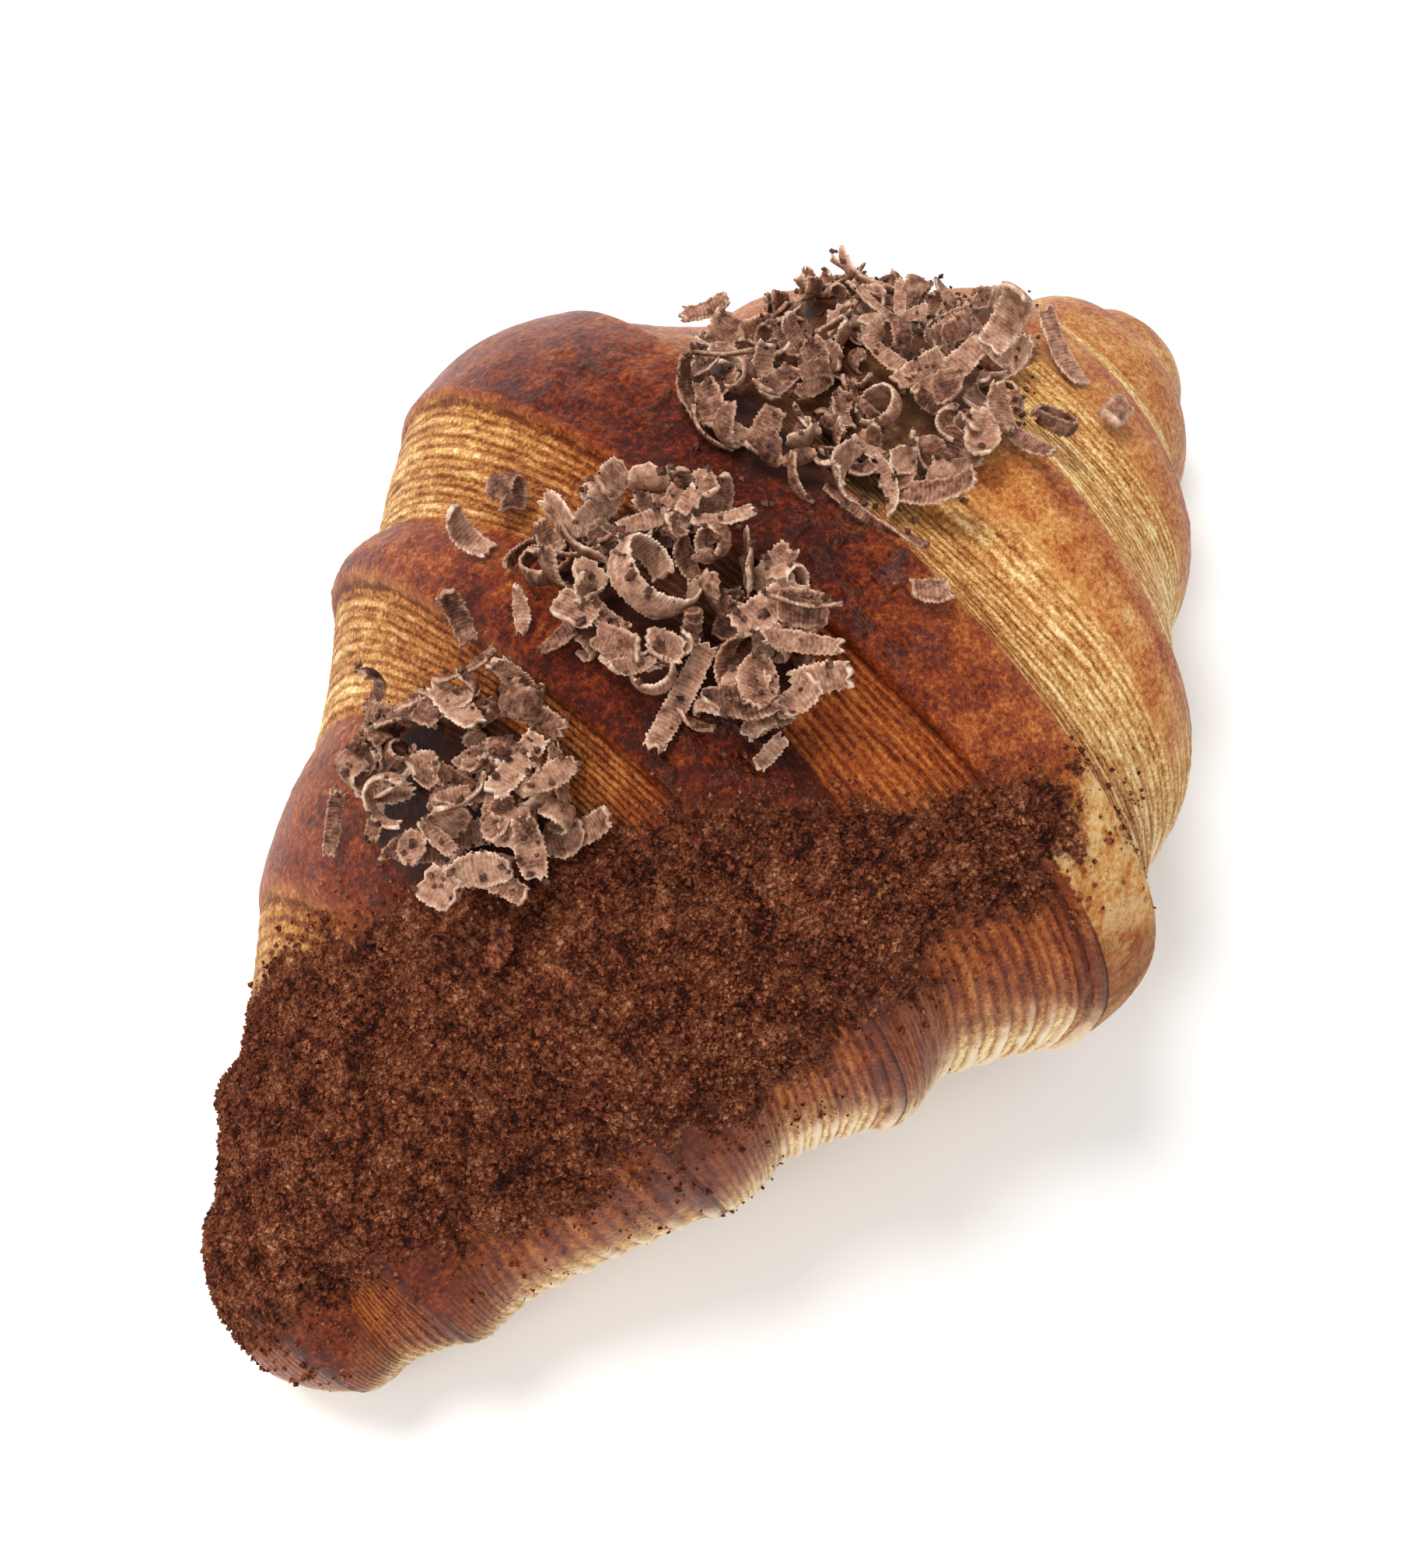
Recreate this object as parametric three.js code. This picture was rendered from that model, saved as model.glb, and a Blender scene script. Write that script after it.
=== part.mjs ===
// A butter croissant with chocolate shavings on top. Millimetres, +Z up.
// The roll lies along X, its flat underside is on z = 0 and its middle is at x = 0, y = 0.
import * as THREE from "three";

const DEGREE = Math.PI / 180;
const UP = new THREE.Vector3(0, 0, 1);
const SIDEWAYS = new THREE.Vector3(0, 1, 0);

// ---------------------------------------------------------------- driving dimensions
// The roll: a triangle of laminated dough rolled up from its base to its tip.
const TIP_HALF_LENGTH = 86;
const CAP_LENGTH = 7;
const CAP_END_SCALE = 0.35;
const SHOULDER_FRACTION = 0.43;
const UNDERCUT = 1.04;
const TOP_FULLNESS = 2.3;
const BELLY_FULLNESS = 3;

// The half width is greatest in the middle and falls to each tip.
const MIDDLE_HALF_WIDTH = 51;
const TIP_HALF_WIDTH = 9;
const MIDDLE_ROUNDING = 8;
const WIDTH_TAPER_LENGTH = 77;
const NEAR_WIDTH_TAPER = 0.9;
const FAR_WIDTH_TAPER = 1.1;

// The height is greatest at the ridge, a little off the middle, and falls to each tip.
const LAST_STATION = 84;
const RIDGE_STATION = -20;
const RIDGE_HEIGHT = 59;
const NEAR_TIP_HEIGHT = 17;
const FAR_TIP_HEIGHT = 20;
const NEAR_FALL = 1.2;
const FAR_FALL = 2;

// How far each tip is bent to one side, past a straight middle, like a shallow crescent.
const STRAIGHT_HALF_LENGTH = 15;
const NEAR_TIP_BOW = -14;
const FAR_TIP_BOW = 8;
const BOW_POWER = 1.2;

// Distance of the spiral step from the middle, after so many turns of the roll, on each half.
const TURNS = [0, 0.5, 1, 2, 3, 4, 5.4];
const STEP_NEAR = [1, 9, 21, 38, 66, 77, 96];
const STEP_FAR = [1, 6, 18, 44, 64, 79, 100];
const SPIRAL_START = -70;

// The step between one turn of dough and the next, and how much of a turn is the cut edge.
const STEP_AT_TIP = 0.9;
const STEP_GAIN = 1.2;
const STEP_GAIN_WIDTH = [10, 50];
const STEP_AT_BASE = 0.35;
const CUT_EDGE_AT_SIDE = 0.66;
const CUT_EDGE_LOSS_ON_TOP = 0.28;

// Mesh fineness.
const STATION_COUNT = 100;
const ARC_COUNT = 34;

// The shavings.
const SHAVING_THICKNESS = 0.6;
const BEND_PER_PART = 30 * DEGREE;
const CLEARANCE = 0.3;
const CELL = 0.5;
const FIELD_X = 92;
const FIELD_Y = 62;
const SLOPE_REACH = 3;

const CRUST_COLOUR = 0x9a5226;
const CHOCOLATE_COLOUR = 0x7d5a48;

// ---------------------------------------------------------------- small tools
function clamp(value, low, high) {
  return Math.min(Math.max(value, low), high);
}

// A smooth curve through the given points that never overshoots them.
function smoothCurve(xs, ys) {
  const slopes = xs.slice(1).map((x, i) => (ys[i + 1] - ys[i]) / (x - xs[i]));
  const tangents = xs.map((_, i) => {
    if (i === 0) return slopes[0];
    if (i === xs.length - 1) return slopes[slopes.length - 1];
    const before = slopes[i - 1];
    const after = slopes[i];
    return before * after <= 0 ? 0 : (2 * before * after) / (before + after);
  });
  return (wanted) => {
    const x = clamp(wanted, xs[0], xs[xs.length - 1]);
    let i = 0;
    while (i < xs.length - 2 && x > xs[i + 1]) i += 1;
    const span = xs[i + 1] - xs[i];
    const s = (x - xs[i]) / span;
    const s2 = s * s;
    const s3 = s2 * s;
    const fromLeft = (2 * s3 - 3 * s2 + 1) * ys[i] + (s3 - 2 * s2 + s) * span * tangents[i];
    const fromRight = (3 * s2 - 2 * s3) * ys[i + 1] + (s3 - s2) * span * tangents[i + 1];
    return fromLeft + fromRight;
  };
}

// The inverse of a rising curve, found by halving the interval.
function inverseOf(curve, low, high) {
  return (value) => {
    let a = low;
    let b = high;
    for (let i = 0; i < 40; i += 1) {
      const middle = (a + b) / 2;
      if (curve(middle) < value) a = middle;
      else b = middle;
    }
    return (a + b) / 2;
  };
}

function indexedGeometry(positions, faces) {
  const geometry = new THREE.BufferGeometry();
  geometry.setAttribute("position", new THREE.Float32BufferAttribute(positions, 3));
  geometry.setIndex(faces);
  geometry.computeVertexNormals();
  return geometry;
}

// ---------------------------------------------------------------- the rolled dough
function halfWidthAt(x) {
  const out = (Math.hypot(x, MIDDLE_ROUNDING) - MIDDLE_ROUNDING) / WIDTH_TAPER_LENGTH;
  const power = x < 0 ? NEAR_WIDTH_TAPER : FAR_WIDTH_TAPER;
  return TIP_HALF_WIDTH + (MIDDLE_HALF_WIDTH - TIP_HALF_WIDTH) * (1 - clamp(out, 0, 1)) ** power;
}

function heightAt(x) {
  const near = x < RIDGE_STATION;
  const reach = near ? LAST_STATION + RIDGE_STATION : LAST_STATION - RIDGE_STATION;
  const out = clamp(Math.abs(x - RIDGE_STATION) / reach, 0, 1);
  const drop = RIDGE_HEIGHT - (near ? NEAR_TIP_HEIGHT : FAR_TIP_HEIGHT);
  return RIDGE_HEIGHT - drop * out ** (near ? NEAR_FALL : FAR_FALL);
}

function bowAt(x) {
  const out = (Math.abs(x) - STRAIGHT_HALF_LENGTH) / (LAST_STATION - STRAIGHT_HALF_LENGTH);
  return (x < 0 ? NEAR_TIP_BOW : FAR_TIP_BOW) * clamp(out, 0, 1) ** BOW_POWER;
}

const LAST_TURN = TURNS[TURNS.length - 1];
const turnsNear = inverseOf(smoothCurve(TURNS, STEP_NEAR), 0, LAST_TURN);
const turnsFar = inverseOf(smoothCurve(TURNS, STEP_FAR), 0, LAST_TURN);

// Turns of dough counted at station x and angle phi. Below zero is the smooth middle band.
function turnsAt(x, phi) {
  const around = (((phi - SPIRAL_START) % 360) + 360) % 360;
  const out = x < 0 ? turnsNear(-x) : turnsFar(x);
  return out - around / 360;
}

// +1 on the rim of a turn, -1 in the groove beside it.
function stepProfile(x, phi) {
  const turns = turnsAt(x, phi);
  if (turns < 0) return 1;
  const along = turns - Math.floor(turns);
  const onTop = Math.max(Math.sin(phi * DEGREE), 0);
  const cutEdge = CUT_EDGE_AT_SIDE - CUT_EDGE_LOSS_ON_TOP * onTop * onTop;
  if (along < cutEdge) return 1 - 2 * Math.sin((Math.PI / 2) * (along / cutEdge));
  return -1 + 2 * Math.sin((Math.PI / 2) * ((along - cutEdge) / (1 - cutEdge)));
}

// A point of the crust. phi is 0 on the -Y side, 90 on top and 180 on the +Y side.
function crustPoint(x, phi) {
  const past = clamp((Math.abs(x) - (TIP_HALF_LENGTH - CAP_LENGTH)) / CAP_LENGTH, 0, 1);
  const round = Math.sqrt(Math.max(1 - past ** 2.4, 0));
  const cap = CAP_END_SCALE + (1 - CAP_END_SCALE) * round;
  const halfWidth = halfWidthAt(x) * cap;
  const height = heightAt(x);
  const shoulder = SHOULDER_FRACTION * height;
  const c = Math.cos(phi * DEGREE);
  const s = Math.sin(phi * DEGREE);
  const power = s >= 0 ? TOP_FULLNESS : BELLY_FULLNESS;
  const halfHeight = s >= 0 ? (height - shoulder) * cap : shoulder * UNDERCUT;
  const sum = Math.abs(c / halfWidth) ** power + Math.abs(s / halfHeight) ** power;
  const reach = sum ** (-1 / power);
  const wide = clamp((halfWidth - STEP_GAIN_WIDTH[0]) / (STEP_GAIN_WIDTH[1] - STEP_GAIN_WIDTH[0]), 0, 1);
  const upper = STEP_AT_BASE + (1 - STEP_AT_BASE) * clamp((s + 0.5) / 0.8, 0, 1);
  const step = (STEP_AT_TIP + STEP_GAIN * wide) * upper;
  const scale = 1 + (step * stepProfile(x, phi)) / Math.max(reach, 8);
  const y = bowAt(x) - reach * c * scale;
  const z = Math.max(shoulder + reach * s * scale, 0);
  return new THREE.Vector3(x, y, z);
}

// The angle below the shoulder at which the section meets the table.
function baseAngle(x) {
  const drop = (1 / UNDERCUT) ** BELLY_FULLNESS;
  const halfBase = halfWidthAt(x) * (1 - drop) ** (1 / BELLY_FULLNESS);
  return Math.atan2(SHOULDER_FRACTION * heightAt(x), halfBase) / DEGREE;
}

// The stations crowd together towards the rounded tips.
function stationAt(i) {
  const t = (2 * i) / STATION_COUNT - 1;
  return TIP_HALF_LENGTH * (0.8 * t + 0.2 * Math.sin((Math.PI / 2) * t));
}

function croissantGeometry() {
  const positions = [];
  const ring = ARC_COUNT + 1;
  for (let i = 0; i <= STATION_COUNT; i += 1) {
    const x = stationAt(i);
    const low = -baseAngle(x);
    for (let j = 0; j <= ARC_COUNT; j += 1) {
      const point = crustPoint(x, low + ((180 - 2 * low) * j) / ARC_COUNT);
      const onTable = j === 0 || j === ARC_COUNT;
      positions.push(point.x, point.y, onTable ? 0 : point.z);
    }
  }
  const faces = [];
  for (let i = 0; i < STATION_COUNT; i += 1) {
    for (let j = 0; j < ARC_COUNT; j += 1) {
      const a = i * ring + j;
      faces.push(a, a + ring + 1, a + 1, a, a + ring, a + ring + 1);
    }
    const left = i * ring;
    const right = left + ARC_COUNT;
    faces.push(right, left + ring, left, right, right + ring, left + ring);
  }
  const last = STATION_COUNT * ring;
  for (let j = 1; j < ARC_COUNT; j += 1) {
    faces.push(0, j, j + 1);
    faces.push(last, last + j + 1, last + j);
  }
  return indexedGeometry(positions, faces);
}

// ---------------------------------------------------------------- the chocolate shavings
// The share of the whole bend that is done at t. The start is bent less than the end by openStart.
function bendDone(t, openStart) {
  return (2 * openStart * t + (1 - openStart) * t * t) / (1 + openStart);
}

// A ribbon of chocolate: a flat section swept along a line that bends in the local XZ plane.
function ribbonGeometry(piece) {
  const bend = (piece.bend ?? 20) * DEGREE;
  const openStart = piece.openStart ?? 1;
  const endWidth = piece.endWidth ?? 0.85;
  const twist = (piece.twist ?? 0) * DEGREE;
  const thickness = piece.thickness ?? SHAVING_THICKNESS;
  const parts = Math.max(4, Math.ceil(bend / BEND_PER_PART), Math.ceil(twist / BEND_PER_PART));
  const positions = [];
  const at = new THREE.Vector3();
  for (let i = 0; i <= parts; i += 1) {
    const t = i / parts;
    const heading = bend * bendDone(t, openStart);
    if (i > 0) {
      const before = bend * bendDone((i - 1) / parts, openStart);
      const course = (heading + before) / 2;
      at.x += (piece.length / parts) * Math.cos(course);
      at.z += (piece.length / parts) * Math.sin(course);
    }
    const halfWidth = (piece.width / 2) * (1 - (1 - endWidth) * (2 * t - 1) ** 2);
    const along = new THREE.Vector3(Math.cos(heading), 0, Math.sin(heading));
    const across = SIDEWAYS.clone().applyAxisAngle(along, twist * t);
    const up = new THREE.Vector3().crossVectors(along, across);
    for (const [side, face] of [[-1, -1], [1, -1], [1, 1], [-1, 1]]) {
      const corner = at.clone();
      corner.addScaledVector(across, side * halfWidth);
      corner.addScaledVector(up, (face * thickness) / 2);
      positions.push(corner.x, corner.y, corner.z);
    }
  }
  const faces = [];
  for (let i = 0; i < parts; i += 1) {
    for (let k = 0; k < 4; k += 1) {
      const a = i * 4 + k;
      const b = i * 4 + ((k + 1) % 4);
      faces.push(a, b + 4, a + 4, a, b, b + 4);
    }
  }
  const end = parts * 4;
  faces.push(0, 2, 1, 0, 3, 2);
  faces.push(end, end + 1, end + 2, end, end + 2, end + 3);
  return indexedGeometry(positions, faces).center();
}

// ---------------------------------------------------------------- resting on what is below
// A grid of the highest point over every cell, for the roll and all shavings placed so far.
const COLUMNS = Math.round((2 * FIELD_X) / CELL);
const ROWS = Math.round((2 * FIELD_Y) / CELL);
const highest = new Float64Array(COLUMNS * ROWS).fill(0);

// The triangles of a mesh, as corner points after its own position and rotation.
function worldTriangles(mesh) {
  mesh.updateMatrix();
  const position = mesh.geometry.getAttribute("position");
  const corners = Array.from(mesh.geometry.getIndex().array, (i) =>
    new THREE.Vector3().fromBufferAttribute(position, i).applyMatrix4(mesh.matrix));
  const triangles = [];
  for (let k = 0; k < corners.length; k += 3) triangles.push(corners.slice(k, k + 3));
  return triangles;
}

// Calls visit(column, row, z) for points that lie less than a cell apart on every triangle.
function forEachSample(triangles, visit) {
  for (const [a, b, c] of triangles) {
    const ab = b.clone().sub(a);
    const ac = c.clone().sub(a);
    const longest = Math.max(ab.length(), ac.length(), ab.distanceTo(ac));
    const n = Math.ceil(longest / (CELL / 2));
    for (let i = 0; i <= n; i += 1) {
      for (let j = 0; j <= n - i; j += 1) {
        const point = a.clone().addScaledVector(ab, i / n).addScaledVector(ac, j / n);
        visit(Math.floor((point.x + FIELD_X) / CELL), Math.floor((point.y + FIELD_Y) / CELL), point.z);
      }
    }
  }
}

function raiseField(triangles) {
  forEachSample(triangles, (column, row, z) => {
    const cell = row * COLUMNS + column;
    highest[cell] = Math.max(highest[cell], z);
  });
}

// How far the triangles must move up or down to clear everything under them.
function restingLift(triangles) {
  let lift = -Infinity;
  forEachSample(triangles, (column, row, z) => {
    for (let dr = -1; dr <= 1; dr += 1) {
      for (let dc = -1; dc <= 1; dc += 1) {
        const below = highest[(row + dr) * COLUMNS + column + dc];
        lift = Math.max(lift, below + CLEARANCE - z);
      }
    }
  });
  return lift;
}

function rollHeightAt(x, y) {
  const column = Math.round((x + FIELD_X) / CELL);
  const row = Math.round((y + FIELD_Y) / CELL);
  return rollHeight[row * COLUMNS + column];
}

// The direction square to the roll's top under a point, so that a shaving can lie along it.
function slopeAt(x, y) {
  const riseX = rollHeightAt(x + SLOPE_REACH, y) - rollHeightAt(x - SLOPE_REACH, y);
  const riseY = rollHeightAt(x, y + SLOPE_REACH) - rollHeightAt(x, y - SLOPE_REACH);
  return new THREE.Vector3(-riseX, -riseY, 2 * SLOPE_REACH).normalize();
}

// tip turns the curl axis up, pitch lifts one end, yaw turns the piece about the vertical.
function orientationOf(piece) {
  const pose = new THREE.Euler((piece.tip ?? 0) * DEGREE, (piece.pitch ?? 0) * DEGREE, 0, "XYZ");
  const turn = new THREE.Quaternion().setFromAxisAngle(UP, piece.yaw * DEGREE);
  const lean = new THREE.Quaternion().setFromUnitVectors(UP, slopeAt(piece.x, piece.y));
  return lean.multiply(turn).multiply(new THREE.Quaternion().setFromEuler(pose));
}

// Lowers a shaving until it rests on the roll and on the shavings that are already there.
function settle(mesh, piece) {
  mesh.quaternion.copy(orientationOf(piece));
  mesh.position.set(piece.x, piece.y, 0);
  mesh.position.z = restingLift(worldTriangles(mesh));
  raiseField(worldTriangles(mesh));
}

// Every shaving, by clump, in the order in which it fell. Lengths in mm, angles in degrees.
const CLUMPS = {
  // on the near shoulder
  near: [
    { name: "strip_a", x: -49, y: 8.5, length: 7, width: 1.8, bend: 70, tip: 50, yaw: 35 },
    { name: "leaf_a", x: -46, y: 6, length: 5, width: 2.6, bend: 50, yaw: 20 },
    { name: "flake_a", x: -40.5, y: -3.5, length: 6.8, width: 2.9, bend: 35, yaw: -35 },
    { name: "leaf_b", x: -41.5, y: 10.5, length: 4.5, width: 2.4, bend: 70, yaw: 70 },
    { name: "tube", x: -36, y: 6, length: 8.5, width: 3.6, bend: 170, openStart: 0.6, tip: 180, yaw: 5 },
    { name: "ring_a", x: -36, y: -5, length: 9, width: 2, bend: 290, tip: 70, yaw: 20 },
    { name: "flake_b", x: -45.5, y: -1.5, length: 5.4, width: 2.4, bend: 80, yaw: 130 },
    { name: "curl_a", x: -41, y: 0.5, length: 8, width: 2.2, bend: 250, openStart: 0.5, tip: 20, yaw: 10 },
    { name: "flake_c", x: -31, y: 2.5, length: 5, width: 3, bend: 40, pitch: -15, yaw: 60 },
    { name: "curl_b", x: -45.5, y: 2.5, length: 9, width: 1.8, bend: 230, tip: 60, yaw: 140 },
    { name: "leaf_c", x: -34, y: -10.5, length: 5.2, width: 2.6, bend: 50, yaw: -20 },
    { name: "flake_d", x: -32, y: -1.5, length: 5.6, width: 2.6, bend: 90, pitch: 20, yaw: 100 },
    { name: "strip_b", x: -40, y: 13, length: 7.5, width: 1.6, bend: 110, tip: 30, yaw: -10 },
  ],
  // the big curls on the middle of the roll
  mid: [
    { name: "flake_long", x: -22, y: -9, length: 10.5, width: 2.5, bend: 25, yaw: 21 },
    { name: "spiral", x: -21.5, y: 10, length: 24, width: 2, bend: 560, openStart: 0.45, tip: 80, yaw: 30 },
    { name: "ring_open", x: -19, y: 2, length: 13, width: 2.2, bend: 210, openStart: 0.8, tip: 70, yaw: 110 },
    { name: "flake_a", x: -13, y: -6, length: 3.8, width: 3.2, bend: 45, yaw: 15 },
    { name: "ring_big", x: -17.5, y: -1, length: 22, width: 3.4, bend: 350, openStart: 0.2, tip: 59, yaw: -137 },
    { name: "ring_small", x: -23, y: -6.5, length: 9, width: 1.9, bend: 300, tip: 85, yaw: 0 },
    { name: "curl_a", x: -11, y: -1, length: 7.5, width: 1.9, bend: 300, openStart: 0.7, tip: 60, yaw: 60 },
    { name: "ribbed", x: -9, y: 5.5, length: 4.6, width: 3.4, bend: 70, pitch: -10, yaw: 50 },
    { name: "fold", x: -12.5, y: -11, length: 7.5, width: 2.8, bend: 190, openStart: 0.5, yaw: -60 },
    { name: "flake_b", x: -8, y: -5.5, length: 5, width: 2.6, bend: 50, pitch: 15, yaw: 0 },
    { name: "fin_a", x: -13, y: -16.5, length: 5.6, width: 3, bend: 60, tip: 25, yaw: -25 },
    { name: "fin_b", x: -19.5, y: -17.5, length: 3.6, width: 1.8, bend: 50, yaw: 10 },
    { name: "flake_c", x: -17.5, y: -10.5, length: 6, width: 2.4, bend: 120, tip: 20, yaw: 75 },
    { name: "leaf_a", x: -25.5, y: 2.5, length: 6, width: 2.2, bend: 60, endWidth: 0.35, yaw: -18 },
    { name: "leaf_b", x: -26.5, y: 7, length: 4.4, width: 2, bend: 60, endWidth: 0.4, yaw: 40 },
    { name: "hook", x: -30.5, y: 11, length: 5.5, width: 2.4, bend: 90, openStart: 0.5, tip: 30, yaw: 60 },
    { name: "clump_a", x: -18.5, y: 18.5, length: 7, width: 3.4, bend: 240, openStart: 0.5, yaw: 35 },
    { name: "clump_b", x: -24, y: 17.5, length: 6, width: 3, bend: 120, yaw: 110 },
    { name: "lone_square", x: 2, y: -16, length: 3.8, width: 3.2, bend: 45, yaw: -45 },
  ],
  // spread over the far half
  far: [
    { name: "flake_a", x: 3, y: 14, length: 6, width: 3.6, bend: 50, yaw: -40 },
    { name: "flake_b", x: 3, y: 6.5, length: 4.6, width: 3, bend: 70, yaw: 20 },
    { name: "string", x: 3.5, y: -7.5, length: 11, width: 1.3, bend: 20, twist: 200, yaw: -85 },
    { name: "flake_c", x: 10, y: 13, length: 6, width: 3, bend: 90, yaw: 70 },
    { name: "ring_a", x: 17, y: 4, length: 12, width: 2.2, bend: 320, tip: 65, yaw: 45 },
    { name: "wide", x: 12.5, y: -7, length: 9, width: 3.4, bend: 70, openStart: 0.4, yaw: -50 },
    { name: "flake_d", x: 19, y: -4.5, length: 4.4, width: 4, bend: 50, yaw: 25 },
    { name: "flake_e", x: 10, y: 2, length: 5.4, width: 2.6, bend: 100, yaw: 140 },
    { name: "curl_a", x: 14, y: 10.5, length: 9, width: 2.4, bend: 260, openStart: 0.5, tip: 20, yaw: -20 },
    { name: "rectangle", x: 24.5, y: 1.5, length: 8.5, width: 3.4, bend: 35, pitch: -8, yaw: -5 },
    { name: "fin_a", x: 26, y: -9, length: 5.5, width: 2.2, bend: 50, tip: 35, yaw: -85 },
    { name: "curl_b", x: 25, y: 9, length: 9.5, width: 2.6, bend: 280, openStart: 0.5, yaw: 60 },
    { name: "curl_c", x: 31, y: 6.5, length: 10, width: 3, bend: 300, openStart: 0.6, tip: 30, yaw: 15 },
    { name: "curl_big", x: 28.5, y: -0.5, length: 9, width: 3.8, bend: 130, tip: 180, yaw: 9 },
    { name: "curl_d", x: 33.5, y: 14, length: 9, width: 3, bend: 290, openStart: 0.6, yaw: 20 },
    { name: "flake_long", x: 47, y: 1.5, length: 10, width: 3.2, bend: 40, yaw: 75 },
    { name: "chip", x: 45, y: -8.5, length: 3.4, width: 3.2, bend: 10, thickness: 2, endWidth: 1, yaw: 10 },
    { name: "ring_b", x: 33.5, y: -7, length: 12, width: 2, bend: 300, tip: 75, yaw: 0 },
    { name: "flake_f", x: 19, y: 17, length: 5.5, width: 2.8, bend: 80, pitch: -20, yaw: 100 },
    { name: "fin_b", x: 16.5, y: 28.5, length: 5.5, width: 3, bend: 60, tip: 30, yaw: -30 },
    { name: "flake_g", x: 27.5, y: 23.5, length: 4, width: 2.6, bend: 60, endWidth: 0.3, pitch: -30, yaw: 50 },
    { name: "flake_h", x: 7, y: 9, length: 6, width: 2.8, bend: 70, pitch: 20, yaw: 10 },
  ],
  // half buried in cocoa powder
  cocoa: [
    { name: "flake_a", x: -46, y: -12, length: 6, width: 2.6, bend: 60, yaw: 10 },
    { name: "flake_b", x: -44, y: -18, length: 5, width: 2.2, bend: 60, yaw: -60 },
    { name: "flake_c", x: -34, y: -20, length: 5, width: 2, bend: 70, yaw: 35 },
    { name: "flake_d", x: -62, y: -7, length: 5.6, width: 2.6, bend: 80, yaw: -20 },
  ],
};

// ---------------------------------------------------------------- the scene graph
function crustMaterial() {
  return new THREE.MeshStandardMaterial({ color: CRUST_COLOUR, roughness: 0.45, metalness: 0 });
}

function chocolateMaterial() {
  return new THREE.MeshStandardMaterial({ color: CHOCOLATE_COLOUR, roughness: 0.75, metalness: 0 });
}

function namedMesh(name, geometry, material) {
  const mesh = new THREE.Mesh(geometry, material);
  mesh.name = name;
  return mesh;
}

const roll = namedMesh("croissant", croissantGeometry(), crustMaterial());
raiseField(worldTriangles(roll));
const rollHeight = highest.slice();

const croissantWithShavings = new THREE.Group();
croissantWithShavings.add(roll);
for (const [clumpName, pieces] of Object.entries(CLUMPS)) {
  const clump = new THREE.Group();
  clump.name = clumpName;
  for (const piece of pieces) {
    const shaving = namedMesh(`${clumpName}_${piece.name}`, ribbonGeometry(piece), chocolateMaterial());
    settle(shaving, piece);
    clump.add(shaving);
  }
  croissantWithShavings.add(clump);
}

export default croissantWithShavings;
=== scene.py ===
"""A butter croissant with cocoa powder and chocolate shavings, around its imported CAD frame."""
import math
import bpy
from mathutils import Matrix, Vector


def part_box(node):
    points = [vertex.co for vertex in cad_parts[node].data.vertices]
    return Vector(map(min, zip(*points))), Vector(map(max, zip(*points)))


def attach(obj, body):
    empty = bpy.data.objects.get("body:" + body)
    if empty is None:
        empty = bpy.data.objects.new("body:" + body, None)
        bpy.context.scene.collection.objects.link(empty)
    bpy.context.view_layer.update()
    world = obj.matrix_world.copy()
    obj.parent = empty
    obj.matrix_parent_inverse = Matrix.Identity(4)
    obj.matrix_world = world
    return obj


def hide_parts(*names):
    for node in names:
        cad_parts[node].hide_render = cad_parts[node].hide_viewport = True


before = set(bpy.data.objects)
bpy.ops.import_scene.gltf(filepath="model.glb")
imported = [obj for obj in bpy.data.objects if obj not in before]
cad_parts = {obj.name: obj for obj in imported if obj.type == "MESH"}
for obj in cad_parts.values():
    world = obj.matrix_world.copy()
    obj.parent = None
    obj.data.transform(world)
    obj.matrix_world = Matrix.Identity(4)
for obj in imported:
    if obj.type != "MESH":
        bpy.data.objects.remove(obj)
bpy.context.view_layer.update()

from types import SimpleNamespace

import bpy
import numpy as np
from mathutils import Euler, Matrix, Quaternion, Vector

MM = 0.001

# ------------------------------------------------------------------ driving dimensions, in mm
TIP_HALF_LENGTH = 86.0
CAP_LENGTH = 7.0
CAP_END_SCALE = 0.35
SHOULDER_FRACTION = 0.43
UNDERCUT = 1.04
TOP_FULLNESS = 2.3
BELLY_FULLNESS = 3.0

MIDDLE_HALF_WIDTH = 51
TIP_HALF_WIDTH = 9
MIDDLE_ROUNDING = 8
WIDTH_TAPER_LENGTH = 77
NEAR_WIDTH_TAPER = 0.9
FAR_WIDTH_TAPER = 1.1
LAST_STATION = 84
RIDGE_STATION = -20
RIDGE_HEIGHT = 59
NEAR_TIP_HEIGHT = 17
FAR_TIP_HEIGHT = 20
NEAR_FALL = 1.2
FAR_FALL = 2
STRAIGHT_HALF_LENGTH = 15
NEAR_TIP_BOW = -14
FAR_TIP_BOW = 8
BOW_POWER = 1.2

TURNS = [0, 0.5, 1, 2, 3, 4, 5.4]
STEP_NEAR = [1, 9, 21, 38, 66, 77, 96]
STEP_FAR = [1, 6, 18, 44, 64, 79, 100]
SPIRAL_START = -70.0
STEP_AT_TIP = 0.9
STEP_GAIN = 1.2
STEP_AT_BASE = 0.35
CUT_EDGE_AT_SIDE = 0.66
CUT_EDGE_LOSS_ON_TOP = 0.28

# Fineness of the crust mesh, whose lines follow the spiral of the dough.
ARC_COUNT = 380
LAYERS_IN_CUT_EDGE = 13
LINES_PER_LAYER = 4
LINES_IN_CRUST = 22
LINES_IN_MIDDLE = 30
LINES_IN_TIP = 34
LAST_SPIRAL_TURN = 3.6


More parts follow.
